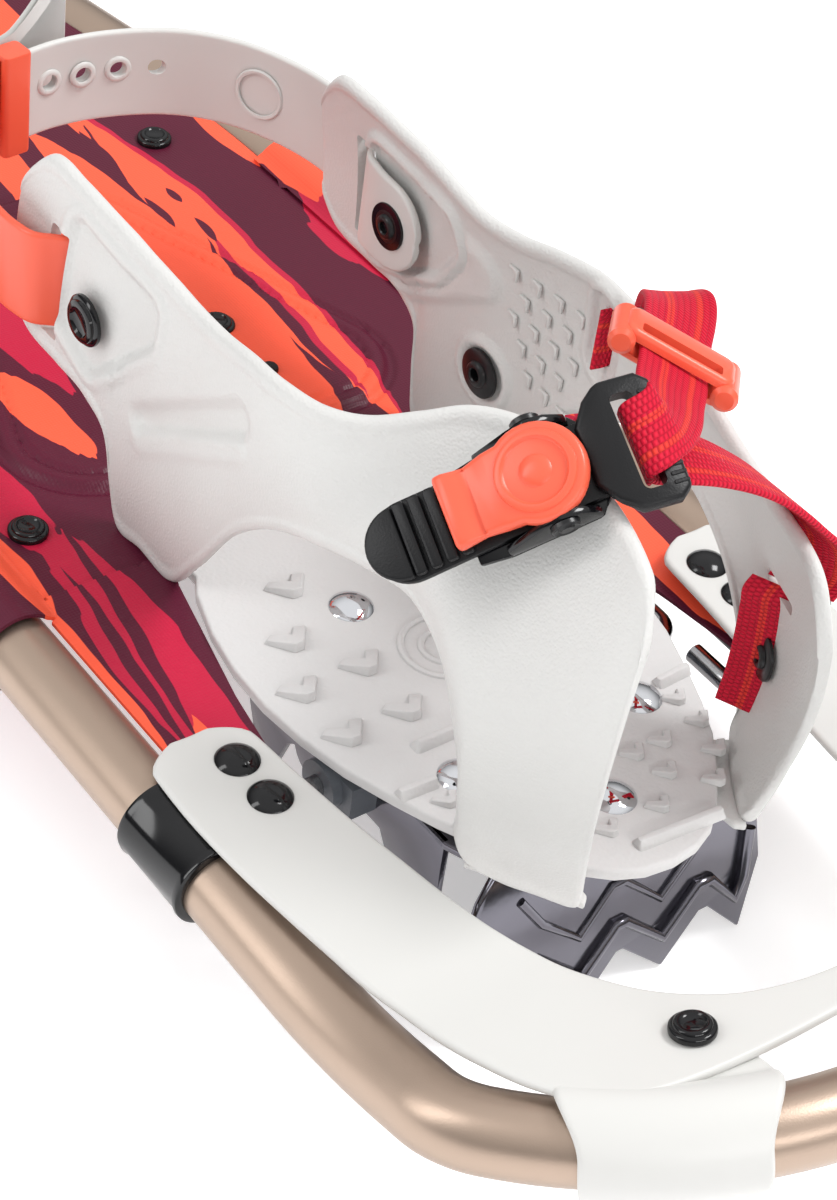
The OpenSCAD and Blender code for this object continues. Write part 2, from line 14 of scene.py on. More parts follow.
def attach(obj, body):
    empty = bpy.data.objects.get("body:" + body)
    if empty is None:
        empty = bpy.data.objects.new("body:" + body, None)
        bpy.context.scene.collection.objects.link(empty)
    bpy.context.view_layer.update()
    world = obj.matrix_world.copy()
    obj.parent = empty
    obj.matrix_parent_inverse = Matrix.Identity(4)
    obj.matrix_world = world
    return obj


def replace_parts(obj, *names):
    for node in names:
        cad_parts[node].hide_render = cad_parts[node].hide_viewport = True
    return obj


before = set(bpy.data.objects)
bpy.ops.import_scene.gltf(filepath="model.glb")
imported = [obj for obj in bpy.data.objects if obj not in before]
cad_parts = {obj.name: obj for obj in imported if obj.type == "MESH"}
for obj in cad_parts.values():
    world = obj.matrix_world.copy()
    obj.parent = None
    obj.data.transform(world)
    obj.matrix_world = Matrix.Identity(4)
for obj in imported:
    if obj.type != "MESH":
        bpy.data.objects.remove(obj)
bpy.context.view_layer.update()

# %% [markdown]
# ## Working in millimetres
# Sizes are easier to read in millimetres. Pieces are drawn round the binding's own zero
# point and `settle` brings a finished mesh to metres and to its place along the shoe.

# %% Helpers that place and finish a mesh
SHIFT_Y = 148.0
TO_METRES = Matrix.Scale(0.001, 4) @ Matrix.Translation((0, SHIFT_Y, 0))


def only(piece):
    """Makes a piece the only one selected."""
    bpy.ops.object.select_all(action="DESELECT")
    piece.select_set(True)
    bpy.context.view_layer.objects.active = piece


def settle(piece, body, smooth=35, place=None):
    """Puts the place into the mesh, smooths it and lets it ride on its body."""
    piece.data.transform(TO_METRES @ (place or Matrix.Identity(4)))
    piece.data.update()
    only(piece)
    bpy.ops.object.shade_smooth_by_angle(angle=math.radians(smooth))
    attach(piece, body)
    return piece


def edit(piece):
    only(piece)
    bpy.ops.object.mode_set(mode="EDIT")
    bpy.ops.mesh.select_all(action="SELECT")


def leave():
    bpy.ops.object.mode_set(mode="OBJECT")


def flip(piece):
    edit(piece)
    bpy.ops.mesh.flip_normals()
    leave()


def faces_out(piece):
    """Turns a closed mesh so that its faces point outwards."""
    edit(piece)
    bpy.ops.mesh.normals_make_consistent(inside=False)
    leave()
    return piece


def add_modifier(piece, kind, **settings):
    only(piece)
    modifier = piece.modifiers.new(kind.title(), kind)
    for key, value in settings.items():
        setattr(modifier, key, value)
    bpy.ops.object.modifier_apply(modifier=modifier.name)


def join(pieces, name):
    """Joins several meshes into the first one."""
    bpy.ops.object.select_all(action="DESELECT")
    for p in pieces:
        p.select_set(True)
    bpy.context.view_layer.objects.active = pieces[0]
    bpy.ops.object.join()
    pieces[0].name = name
    return pieces[0]


def copy_to(piece, place):
    twin = piece.copy()
    twin.data = piece.data.copy()
    bpy.context.scene.collection.objects.link(twin)
    twin.data.transform(place)
    return twin


def raw_mesh(name, verts, faces, uv=None):
    mesh = bpy.data.meshes.new(name)
    mesh.from_pydata([tuple(v) for v in verts], [], faces)
    mesh.update()
    piece = bpy.data.objects.new(name, mesh)
    bpy.context.scene.collection.objects.link(piece)
    if uv is not None:
        layer = mesh.uv_layers.new(name="cloth")
        for loop in mesh.loops:
            layer.data[loop.index].uv = uv[loop.vertex_index]
    return piece


# %% [markdown]
# ## Flat pieces: plates
# Footbed, crampon, buckle and loops are all flat outlines with a thickness. A circle is
# added with as many corners as the outline has, its corners are moved there, the face is
# extruded, and a Bevel modifier rounds the edges as a mould or a press does.

# %% Plate, cut and lathe helpers


def plate(name, outline, low, high, soft=0.5, segments=2, angle=40):
    bpy.ops.object.select_all(action="DESELECT")
    bpy.ops.mesh.primitive_circle_add(vertices=len(outline), radius=1, fill_type="NGON")
    piece = bpy.context.object
    piece.name = name
    for vertex, point in zip(piece.data.vertices, outline):
        vertex.co = (point[0], point[1], low)
    edit(piece)
    bpy.ops.mesh.extrude_region_move(TRANSFORM_OT_translate={"value": (0, 0, high - low)})
    bpy.ops.mesh.select_all(action="SELECT")
    bpy.ops.mesh.normals_make_consistent(inside=False)
    leave()
    if soft:
        add_modifier(piece, "BEVEL", width=soft, segments=segments, limit_method="ANGLE",
                     angle_limit=math.radians(angle))
    return piece


def arc(cx, cy, r, a0, a1, steps):
    return [(cx + r * math.cos(math.radians(a0 + (a1 - a0) * i / steps)),
             cy + r * math.sin(math.radians(a0 + (a1 - a0) * i / steps))) for i in range(steps + 1)]


def rounded(x0, x1, y0, y1, r, steps=6):
    return (arc(x1 - r, y1 - r, r, 0, 90, steps) + arc(x0 + r, y1 - r, r, 90, 180, steps)
            + arc(x0 + r, y0 + r, r, 180, 270, steps) + arc(x1 - r, y0 + r, r, 270, 360, steps))


def cut(piece, cutter):
    add_modifier(piece, "BOOLEAN", object=cutter, operation="DIFFERENCE", solver="EXACT")
    bpy.data.objects.remove(cutter)
    return piece


def lathe(name, profile, steps=40):
    """Spins a profile of (radius, height) round the Z axis."""
    piece = raw_mesh(name, [(r, 0, z) for r, z in profile], [])
    piece.data.edges.add(len(profile) - 1)
    for i, e in enumerate(piece.data.edges):
        e.vertices = (i, i + 1)
    edit(piece)
    bpy.ops.mesh.spin(steps=steps, angle=2 * math.pi, center=(0, 0, 0), axis=(0, 0, 1))
    bpy.ops.mesh.select_all(action="SELECT")
    bpy.ops.mesh.remove_doubles(threshold=0.001)
    bpy.ops.mesh.normals_make_consistent(inside=False)
    leave()
    return piece


def tube(name, points, radius, closed=False, sides=10):
    """A round rod along points: a curve with a bevel, made a mesh."""
    curve = bpy.data.curves.new(name, "CURVE")
    curve.dimensions = "3D"
    curve.bevel_depth = radius
    curve.bevel_resolution = sides
    curve.use_fill_caps = True
    line = curve.splines.new("POLY")
    line.points.add(len(points) - 1)
    for spot, p in zip(line.points, points):
        spot.co = (*p, 1)
    line.use_cyclic_u = closed
    piece = bpy.data.objects.new(name, curve)
    bpy.context.scene.collection.objects.link(piece)
    only(piece)
    bpy.ops.object.convert(target="MESH")
    return bpy.context.object


def turn(x=0, y=0, z=0):
    return (Matrix.Rotation(math.radians(z), 4, "Z") @ Matrix.Rotation(math.radians(y), 4, "Y")
            @ Matrix.Rotation(math.radians(x), 4, "X"))


def at(x, y, z):
    return Matrix.Translation((x, y, z))


MIRROR = Matrix.Scale(-1, 4, (1, 0, 0))

# %% [markdown]
# ## Moulded sheets
# The wings, straps and webbing bend in two directions, which no primitive does. Their
# middle surface is a grid of points; both faces are lifted off it by half the thickness,
# and that falls to nothing at the border along a quarter circle, so edges come out round.
# Raised rims and recesses are more lift, read from distances to simple outlines.

# %% Moulded sheet helpers


def through(knots, values, q):
    """A smooth curve through the values at the knots."""
    k, v = np.array(knots, float), np.array(values, float)
    m = np.gradient(v, k, axis=0)
    i = np.clip(np.searchsorted(k, q) - 1, 0, len(k) - 2)
    shape = (-1,) + (1,) * (v.ndim - 1)
    h = (k[i + 1] - k[i]).reshape(shape)
    t = ((q - k[i]) / (k[i + 1] - k[i])).reshape(shape)
    return ((2 * t**3 - 3 * t**2 + 1) * v[i] + (t**3 - 2 * t**2 + t) * h * m[i]
            + (3 * t**2 - 2 * t**3) * v[i + 1] + (t**3 - t**2) * h * m[i + 1])


def edge_spaced(length, step, roll):
    """Positions along a length, close together near both ends."""
    near = [0, 0.05 * roll, 0.2 * roll, 0.45 * roll, 0.75 * roll, 1.1 * roll]
    count = max(2, round((length - 2.2 * roll) / step))
    middle = np.linspace(1.1 * roll, length - 1.1 * roll, count + 1)[1:-1]
    return np.concatenate([near, middle, [length - n for n in reversed(near)]])


def moulded_sheet(name, mid, half, roll, lift_a=None, lift_b=None):
    n, m = mid.shape[:2]
    du, dv = np.gradient(mid, axis=0), np.gradient(mid, axis=1)
    normal = np.cross(du, dv)
    normal /= np.maximum(np.linalg.norm(normal, axis=2, keepdims=True), 1e-9)
    along = np.concatenate([np.zeros((1, m)), np.cumsum(
        np.linalg.norm(np.diff(mid, axis=0), axis=2), axis=0)])
    across = np.concatenate([np.zeros((n, 1)), np.cumsum(
        np.linalg.norm(np.diff(mid, axis=1), axis=2), axis=1)], axis=1)
    d = np.minimum(np.minimum(along, along[-1:] - along),
                   np.minimum(across, across[:, -1:] - across))
    rise = np.sqrt(1 - (1 - np.clip(d / roll, 0, 1)) ** 2)
    a = mid + normal * (rise * (half + (0 if lift_a is None else lift_a)))[..., None]
    b = mid - normal * (rise * (half + (0 if lift_b is None else lift_b)))[..., None]
    top = np.arange(n * m).reshape(n, m)
    low = top.copy()
    inner = np.zeros((n, m), bool)
    inner[1:-1, 1:-1] = True
    low[inner] = n * m + np.arange(inner.sum())
    verts = np.concatenate([a.reshape(-1, 3), b[inner]])
    faces = []
    for i in range(n - 1):
        for j in range(m - 1):
            faces.append((top[i, j], top[i + 1, j], top[i + 1, j + 1], top[i, j + 1]))
            faces.append((low[i, j], low[i, j + 1], low[i + 1, j + 1], low[i + 1, j]))
    ga = np.stack([along, across], 2)
    uv = np.concatenate([ga.reshape(-1, 2), ga[inner]])
    return raw_mesh(name, verts.tolist(), [tuple(int(q) for q in f) for f in faces], uv.tolist())


def soft_step(d, width):
    """1 where d is well below zero, 0 well above."""
    t = np.clip(0.5 - d / width, 0, 1)
    return t * t * (3 - 2 * t)


def to_capsule(y, z, a, b, ra, rb):
    """Distance to a rod between two points whose radius changes."""
    ey, ez = b[0] - a[0], b[1] - a[1]
    h = np.clip(((y - a[0]) * ey + (z - a[1]) * ez) / (ey * ey + ez * ez), 0, 1)
    return np.hypot(y - a[0] - ey * h, z - a[1] - ez * h) - (ra + (rb - ra) * h)


def to_polygon(x, y, corners):
    """Distance to a convex polygon whose corners run anticlockwise, rounded outside."""
    inside = np.full(x.shape, -1e9)
    outside = np.full(x.shape, 1e9)
    for (x0, y0), (x1, y1) in zip(corners, corners[1:] + corners[:1]):
        ex, ey = x1 - x0, y1 - y0
        length = math.hypot(ex, ey)
        inside = np.maximum(inside, ((x - x0) * ey - (y - y0) * ex) / length)
        h = np.clip(((x - x0) * ex + (y - y0) * ey) / length**2, 0, 1)
        outside = np.minimum(outside, np.hypot(x - x0 - ex * h, y - y0 - ey * h))
    return np.where(inside < 0, inside, outside)


def band(d, near, far, soft):
    """A raised band between two distances."""
    return soft_step(d - far, soft) - soft_step(d - near, soft)


# %% [markdown]
# ## Finishes
# Each effect that several finishes share is a node group: fine moulding grain, soft
# unevenness, woven ribs. The shader itself stays in each material with its own values.

# %% Node groups


def new_group(name, inputs, outputs):
    group = bpy.data.node_groups.new(name, "ShaderNodeTree")
    for label, value in inputs:
        socket = group.interface.new_socket(label, in_out="INPUT", socket_type="NodeSocketFloat")
        socket.default_value = value
    for label, kind in outputs:
        group.interface.new_socket(label, in_out="OUTPUT", socket_type=kind)
    return group, group.nodes.new("NodeGroupInput"), group.nodes.new("NodeGroupOutput")


def node(tree, kind, **settings):
    made = tree.nodes.new(kind)
    for key, value in settings.items():
        setattr(made, key, value)
    return made


def maths(tree, operation, a, b=None, c=None, clamp=False):
    made = node(tree, "ShaderNodeMath", operation=operation, use_clamp=clamp)
    for i, value in enumerate((a, b, c)):
        if value is None:
            continue
        if isinstance(value, (int, float)):
            made.inputs[i].default_value = value
        else:
            tree.links.new(value, made.inputs[i])
    return made.outputs[0]


def grain_group():
    group, gin, gout = new_group("moulding_grain", [("Scale", 900), ("Uneven", 30)],
                                 [("Height", "NodeSocketFloat"), ("Mottle", "NodeSocketFloat")])
    place = node(group, "ShaderNodeTexCoord")
    cells = node(group, "ShaderNodeTexVoronoi", feature="SMOOTH_F1")
    noise = node(group, "ShaderNodeTexNoise")
    mottle = node(group, "ShaderNodeTexNoise")
    noise.inputs["Detail"].default_value = 3
    for texture in (cells, noise, mottle):
        group.links.new(place.outputs["Object"], texture.inputs["Vector"])
    group.links.new(gin.outputs["Scale"], cells.inputs["Scale"])
    group.links.new(gin.outputs["Scale"], noise.inputs["Scale"])
    group.links.new(gin.outputs["Uneven"], mottle.inputs["Scale"])
    total = maths(group, "ADD", maths(group, "MULTIPLY", cells.outputs["Distance"], 0.9),
                  maths(group, "MULTIPLY", noise.outputs["Fac"], 0.6))
    group.links.new(total, gout.inputs["Height"])
    group.links.new(mottle.outputs["Fac"], gout.inputs["Mottle"])
    return group


def weave_group():
    group, gin, gout = new_group("woven_ribs", [("Along", 1.3), ("Across", 0.9)],
                                 [("Height", "NodeSocketFloat"), ("Threads", "NodeSocketFloat")])
    uv = node(group, "ShaderNodeUVMap", uv_map="cloth")
    split = node(group, "ShaderNodeSeparateXYZ")
    group.links.new(uv.outputs["UV"], split.inputs[0])
    turns = 2 * math.pi
    u = maths(group, "DIVIDE", maths(group, "MULTIPLY", split.outputs[0], turns),
              gin.outputs["Along"])
    v = maths(group, "DIVIDE", maths(group, "MULTIPLY", split.outputs[1], turns),
              gin.outputs["Across"])
    half_turn = maths(group, "MULTIPLY", maths(group, "SIGN", maths(group, "SINE", maths(
        group, "MULTIPLY", v, 0.5))), math.pi / 2)
    ribs = maths(group, "ABSOLUTE", maths(group, "SINE", maths(group, "MULTIPLY", maths(
        group, "ADD", u, half_turn), 0.5)))
    threads = maths(group, "ABSOLUTE", maths(group, "SINE", maths(group, "MULTIPLY", v, 0.5)))
    group.links.new(maths(group, "MULTIPLY", ribs, maths(group, "POWER", threads, 0.5)),
                    gout.inputs["Height"])
    group.links.new(threads, gout.inputs["Threads"])
    return group


GRAIN = grain_group()
WEAVE = weave_group()
print("node groups ready")

# %% Plain finishes


def finish(name, colour, rough, metal=0.0, grain=(900, 30), bump=0.0, depth=0.0002, mottle=0.08,
           coat=0.0, dark=0.88, specular=0.5):
    """A finish with grain in its bump, and mottling in its colour and roughness."""
    material = bpy.data.materials.new(name)
    material.use_nodes = True
    tree = material.node_tree
    shader = tree.nodes["Principled BSDF"]
    shader.inputs["Metallic"].default_value = metal
    shader.inputs["Coat Weight"].default_value = coat
    shader.inputs["Coat Roughness"].default_value = 0.08
    shader.inputs["Specular IOR Level"].default_value = specular
    texture = node(tree, "ShaderNodeGroup", node_tree=GRAIN)
    texture.inputs["Scale"].default_value = grain[0]
    texture.inputs["Uneven"].default_value = grain[1]
    mix = node(tree, "ShaderNodeMix", data_type="RGBA")
    mix.inputs[6].default_value = (*[c * dark for c in colour], 1)
    mix.inputs[7].default_value = (*colour, 1)
    tree.links.new(texture.outputs["Mottle"], mix.inputs["Factor"])
    tree.links.new(mix.outputs[2], shader.inputs["Base Color"])
    tree.links.new(maths(tree, "ADD", rough - mottle / 2, maths(
        tree, "MULTIPLY", texture.outputs["Mottle"], mottle)), shader.inputs["Roughness"])
    if bump:
        lift = node(tree, "ShaderNodeBump")
        lift.inputs["Strength"].default_value = bump
        lift.inputs["Distance"].default_value = depth
        tree.links.new(texture.outputs["Height"], lift.inputs["Height"])
        tree.links.new(lift.outputs["Normal"], shader.inputs["Normal"])
    return material


white_tpu = finish("white_tpu", (0.635, 0.63, 0.615), 0.44, bump=0.42, depth=0.00035,
                   grain=(1500, 25), dark=0.97, specular=0.4)
smooth_white = finish("smooth_white_tpu", (0.63, 0.625, 0.605), 0.36, bump=0.05, depth=0.0001,
                      grain=(500, 20), dark=0.96, specular=0.35)
footbed_white = finish("footbed_tpu", (0.62, 0.61, 0.605), 0.46, bump=0.35, depth=0.0003,
                       grain=(1000, 25), dark=0.94, specular=0.3)
coral_tpu = finish("coral_tpu", (0.90, 0.125, 0.065), 0.3, bump=0.08, depth=0.0001, specular=0.4)
black_gloss = finish("black_gloss", (0.004, 0.004, 0.005), 0.12, bump=0.03, grain=(300, 60),
                     specular=0.4)
black_matte = finish("black_rubber", (0.006, 0.006, 0.007), 0.4, bump=0.25, grain=(2200, 40),
                     depth=0.00015,
                     specular=0.3)
black_metal = finish("black_steel", (0.006, 0.006, 0.007), 0.3, metal=0.0, bump=0.08,
                     grain=(900, 50), specular=0.4)
champagne = finish("anodised_tube", (0.44, 0.335, 0.265), 0.36, metal=0.85, bump=0.2,
                   grain=(2500, 12),
                   depth=0.0001, dark=0.93)
crampon_steel = finish("crampon_steel", (0.16, 0.155, 0.18), 0.15, metal=1.0, bump=0.1,
                       grain=(160, 40), depth=0.0006, coat=0.2, dark=0.7)
bright_steel = finish("bright_steel", (0.42, 0.42, 0.43), 0.2, metal=1.0, bump=0.06,
                      grain=(700, 80))
chrome = finish("chrome", (0.72, 0.73, 0.76), 0.06, metal=1.0, mottle=0.04, grain=(400, 60),
                bump=0.02)
grey_plastic = finish("grey_plastic", (0.10, 0.11, 0.125), 0.4, bump=0.15, specular=0.4)

# %% [markdown]
# ## Webbing
# Straps of this kind are woven with fine cross ribs and have two brighter lines along
# them. The ribs follow the strap, so they read the strap's own map, which is in
# millimetres along and across. The hollows between the ribs get painted shade: a darker
# red is mixed into the colour where the ribs are low.

# %% Webbing finish


def webbing_finish():
    material = bpy.data.materials.new("red_webbing")
    material.use_nodes = True
    tree = material.node_tree
    shader = tree.nodes["Principled BSDF"]
    shader.inputs["Roughness"].default_value = 0.62
    shader.inputs["Specular IOR Level"].default_value = 0.2
    weave = node(tree, "ShaderNodeGroup", node_tree=WEAVE)
    weave.inputs["Along"].default_value = 1.25
    weave.inputs["Across"].default_value = 1.6
    split = node(tree, "ShaderNodeSeparateXYZ")
    uv = node(tree, "ShaderNodeUVMap", uv_map="cloth")
    tree.links.new(uv.outputs["UV"], split.inputs[0])
    off_middle = maths(tree, "ABSOLUTE", maths(tree, "SUBTRACT", split.outputs[1], 10))
    stripe = maths(tree, "LESS_THAN", maths(tree, "ABSOLUTE", maths(
        tree, "SUBTRACT", off_middle, 3.6)), 0.9)
    base = node(tree, "ShaderNodeMix", data_type="RGBA")
    base.inputs[6].default_value = (0.70, 0.010, 0.040, 1)
    base.inputs[7].default_value = (0.86, 0.050, 0.035, 1)
    tree.links.new(stripe, base.inputs["Factor"])
    # Painted shade: the colour falls to a darker red in the low hollows between the ribs.
    painted_groove_shade = node(tree, "ShaderNodeMix", data_type="RGBA")
    painted_groove_shade.inputs[6].default_value = (0.40, 0.004, 0.022, 1)
    tree.links.new(base.outputs[2], painted_groove_shade.inputs[7])
    tree.links.new(maths(tree, "POWER", weave.outputs["Height"], 0.5), painted_groove_shade.inputs["Factor"])
    tree.links.new(painted_groove_shade.outputs[2], shader.inputs["Base Color"])
    lift = node(tree, "ShaderNodeBump")
    lift.inputs["Strength"].default_value = 0.9
    lift.inputs["Distance"].default_value = 0.0005
    tree.links.new(weave.outputs["Height"], lift.inputs["Height"])
    tree.links.new(lift.outputs["Normal"], shader.inputs["Normal"])
    return material


red_webbing = webbing_finish()

# %% [markdown]
# ## The printed deck
# The print is made of long brush strokes that run with the shoe: a plum ground, crimson
# fields, coral strokes with a crimson rim, and thin plum slits on top. One node group
# draws a stroke from its middle, half length, half width and lean, with a ragged edge,
# and the finish lays them over each other like coats of ink.

# %% Stroke group and deck finish


def stroke_group():
    names = [("X", 0), ("Y", 0), ("Half length", 0.03), ("Half width", 0.005), ("Lean", 0),
             ("Ragged", 0.2)]
    group, gin, gout = new_group("brush_stroke", names, [("Mask", "NodeSocketFloat")])
    place = node(group, "ShaderNodeTexCoord")
    split = node(group, "ShaderNodeSeparateXYZ")
    group.links.new(place.outputs["Object"], split.inputs[0])
    stretch = node(group, "ShaderNodeMapping")
    stretch.inputs["Scale"].default_value = (260, 26, 1)
    group.links.new(place.outputs["Object"], stretch.inputs["Vector"])
    rag = node(group, "ShaderNodeTexNoise")
    rag.inputs["Scale"].default_value = 1
    rag.inputs["Detail"].default_value = 2
    group.links.new(stretch.outputs[0], rag.inputs["Vector"])
    wander = node(group, "ShaderNodeTexNoise")
    wander.inputs["Scale"].default_value = 28
    group.links.new(place.outputs["Object"], wander.inputs["Vector"])
    dy = maths(group, "SUBTRACT", split.outputs[1], gin.outputs["Y"])
    shift = maths(group, "MULTIPLY", maths(group, "SUBTRACT", wander.outputs["Fac"], 0.5), 0.007)
    dx = maths(group, "ADD", maths(group, "SUBTRACT", maths(
        group, "SUBTRACT", split.outputs[0], gin.outputs["X"]), maths(
        group, "MULTIPLY", dy, gin.outputs["Lean"])), shift)
    torn = maths(group, "MULTIPLY", maths(group, "SUBTRACT", rag.outputs["Fac"], 0.5),
                 gin.outputs["Ragged"])
    u = maths(group, "ADD", maths(group, "ABSOLUTE", maths(
        group, "DIVIDE", dy, gin.outputs["Half length"])), torn)
    v = maths(group, "ABSOLUTE", maths(group, "DIVIDE", dx, gin.outputs["Half width"]))
    bulge = maths(group, "SUBTRACT", 1.0, maths(group, "POWER", maths(group, "MAXIMUM", u, 0), 2.4))
    edge = maths(group, "MULTIPLY", maths(group, "SUBTRACT", bulge, v), maths(
        group, "MULTIPLY", gin.outputs["Half width"], 5000))
    group.links.new(maths(group, "ADD", edge, 0.5, clamp=True), gout.inputs["Mask"])
    return group


PLUM, CRIMSON, CORAL = (0.092, 0.009, 0.026), (0.50, 0.014, 0.050), (0.96, 0.115, 0.055)
# Ink, middle x and y, half length, half width, lean, raggedness; in millimetres.
STROKES = [
    (CRIMSON, 68, -45, 62, 11, 0.05, 0.5), (CRIMSON, 70, -122, 34, 8, -0.1, 0.6),
    (CRIMSON, -84, -178, 26, 9, 0.0, 0.8), (CRIMSON, 30, -205, 60, 8, 0.02, 0.5),
    (CRIMSON, -88, -70, 55, 6, 0.0, 0.5), (CRIMSON, 12, -330, 80, 12, 0.0, 0.6),
    (CRIMSON, -40, -345, 70, 9, 0.04, 0.6),
    (CRIMSON, -46.8, -185, 92, 9, 0.01, 0.2), (CORAL, -45.3, -182, 91, 8.4, 0.01, 0.2),
    (CORAL, -28, -180, 92, 11, 0.0, 0.2), (CORAL, -12, -225, 80, 8, 0.02, 0.4),
    (CORAL, -92, -214, 36, 11, -0.08, 0.7), (CORAL, -84, -262, 46, 7, 0.05, 0.5),
    (CORAL, 43, -146, 27, 6, -0.12, 0.6), (CORAL, 82, -90, 24, 5, 0.1, 0.3),
    (CORAL, 85, -36, 42, 4.5, 0.05, 0.2), (CORAL, 62, -185, 52, 6, 0.05, 0.5),
    (CORAL, 86, -190, 60, 6, 0.0, 0.4), (CORAL, -72, -14, 36, 6, 0.1, 0.4),
    (CORAL, -88, -110, 40, 5, 0.05, 0.5), (CORAL, -84, 14, 26, 5, 0.0, 0.2),
    (CORAL, 24, -285, 62, 9, 0.06, 0.5), (CORAL, -10, -372, 64, 10, 0.0, 0.6),
    (CORAL, -50, -318, 60, 8, 0.12, 0.5), (CORAL, 46, -352, 55, 8, -0.08, 0.5),
    (CORAL, 4, -130, 40, 9, 0.0, 0.4), (CORAL, 74, 6, 30, 4, 0.1, 0.3),
    (PLUM, 67, -60, 44, 2.0, 0.16, 0.2), (PLUM, 74, -48, 38, 1.6, 0.1, 0.2),
    (PLUM, 58, -30, 30, 2.4, 0.1, 0.3), (CRIMSON, -44, -152, 44, 2.6, 0.05, 0.2),
    (PLUM, -42, -152, 43, 2.0, 0.05, 0.2), (PLUM, -46, -200, 7, 1.4, 0.0, 0),
    (PLUM, -39, -214, 9, 1.4, 0.05, 0), (PLUM, -47, -220, 4.5, 1.2, 0, 0),
    (PLUM, -40, -246, 17, 2.2, 0.1, 0.3), (PLUM, -20, -262, 40, 2.4, 0.05, 0.3),
    (PLUM, 82, -205, 34, 2.0, 0.05, 0.3), (PLUM, 60, -178, 30, 1.8, 0.05, 0.3),
    (PLUM, -8, -380, 36, 2.2, 0.04, 0.3), (PLUM, 26, -292, 34, 2.2, 0.06, 0.3),
]


def deck_finish():
    stroke = stroke_group()
    material = bpy.data.materials.new("printed_deck")
    material.use_nodes = True
    tree = material.node_tree
    shader = tree.nodes["Principled BSDF"]
    shader.inputs["Specular IOR Level"].default_value = 0.22
    colour = None
    for ink, x, y, length, width, lean, ragged in STROKES:
        mask = node(tree, "ShaderNodeGroup", node_tree=stroke)
        for label, value in (("X", x / 1000), ("Y", (y + SHIFT_Y) / 1000), ("Half length",
                                                                            length / 1000),
                             ("Half width", width / 1000), ("Lean", lean), ("Ragged", ragged)):
            mask.inputs[label].default_value = value
        mix = node(tree, "ShaderNodeMix", data_type="RGBA")
        if colour is None:
            mix.inputs[6].default_value = (*PLUM, 1)
        else:
            tree.links.new(colour, mix.inputs[6])
        mix.inputs[7].default_value = (*ink, 1)
        tree.links.new(mask.outputs["Mask"], mix.inputs["Factor"])
        colour = mix.outputs[2]
    tree.links.new(colour, shader.inputs["Base Color"])
    place = node(tree, "ShaderNodeTexCoord")
    split = node(tree, "ShaderNodeSeparateXYZ")
    tree.links.new(place.outputs["Object"], split.inputs[0])
    threads = [maths(tree, "ABSOLUTE", maths(tree, "SINE", maths(
        tree, "MULTIPLY", split.outputs[i], math.pi / 0.0009))) for i in (0, 1)]
    lift = node(tree, "ShaderNodeBump")
    lift.inputs["Strength"].default_value = 0.22
    lift.inputs["Distance"].default_value = 0.00012
    tree.links.new(maths(tree, "ADD", *threads), lift.inputs["Height"])
    tree.links.new(lift.outputs["Normal"], shader.inputs["Normal"])
    mottle = node(tree, "ShaderNodeGroup", node_tree=GRAIN)
    mottle.inputs["Uneven"].default_value = 18
    tree.links.new(maths(tree, "ADD", 0.30, maths(
        tree, "MULTIPLY", mottle.outputs["Mottle"], 0.16)), shader.inputs["Roughness"])
    return material


printed_deck = deck_finish()
print(len(STROKES), "brush strokes on the deck")


def dress(piece, material):
    piece.data.materials.clear()
    piece.data.materials.append(material)
    return piece


# %% [markdown]
# ## The frame tube
# One tube is bent into a loop: straight rails, a raised nose with tight corners, and a
# tapered tail. A line of points follows the same arcs as the engineering model and a
# round bevel makes it a tube.

# %% Frame tube
TUBE_R, RAIL_X, RAIL_Z = 9.5, 92.0, 43.0
NOSE = math.radians(14)
CORNER_R, CORNER_U, RISE_Y, RISE_R = 26.0, 48.0, 54.0, 160.0
FRONT_X = RAIL_X - CORNER_R * (1 - math.cos(math.radians(35)))
FRONT_R = FRONT_X / math.cos(math.radians(35))
FRONT_C = CORNER_U + CORNER_R * math.sin(math.radians(35)) - FRONT_R * math.sin(math.radians(35))
NOSE_Y = RISE_Y + RISE_R * math.sin(NOSE)
NOSE_Z = RAIL_Z + RISE_R * (1 - math.cos(NOSE))
RISE_U = RISE_R * NOSE
TAPER = math.radians(9.5)
BEND_R, BEND_Y, TAIL_RUN, SHEET_GAP = 300, -225, 126.5, 8.6
TAPER_X = RAIL_X - BEND_R * (1 - math.cos(TAPER))
TAPER_Y2 = BEND_Y - BEND_R * math.sin(TAPER)
TAIL_X = TAPER_X - TAIL_RUN * math.sin(TAPER)
TAIL_R = TAIL_X / math.cos(TAPER)
TAIL_C = TAPER_Y2 - TAIL_RUN * math.cos(TAPER) + TAIL_R * math.sin(TAPER)


def on_nose(x, u, lift=0.0):
    return (x, NOSE_Y + (u - RISE_U) * math.cos(NOSE) - lift * math.sin(NOSE),
            NOSE_Z + (u - RISE_U) * math.sin(NOSE) + lift * math.cos(NOSE))


def half_tube():
    line = [on_nose(FRONT_R * math.cos(math.radians(w)),
                    FRONT_C + FRONT_R * math.sin(math.radians(w)))
            for w in np.linspace(90, 35, 26)]
    line += [on_nose(RAIL_X - CORNER_R + CORNER_R * math.cos(math.radians(w)),
                     CORNER_U + CORNER_R * math.sin(math.radians(w))) for w in np.linspace(33, 0, 14)]
    line += [(RAIL_X, RISE_Y + RISE_R * math.sin(w), RAIL_Z + RISE_R * (1 - math.cos(w)))
             for w in np.linspace(NOSE, 0, 10)]
    line += [(RAIL_X, y, RAIL_Z) for y in np.linspace(40, -225, 12)]
    line += [(RAIL_X - BEND_R + BEND_R * math.cos(w), BEND_Y - BEND_R * math.sin(w), RAIL_Z)
             for w in np.linspace(0.02, TAPER, 7)]
    line += [(TAIL_R * math.cos(w), TAIL_C - TAIL_R * math.sin(w), RAIL_Z)
             for w in np.linspace(TAPER, math.pi / 2, 22)]
    return line


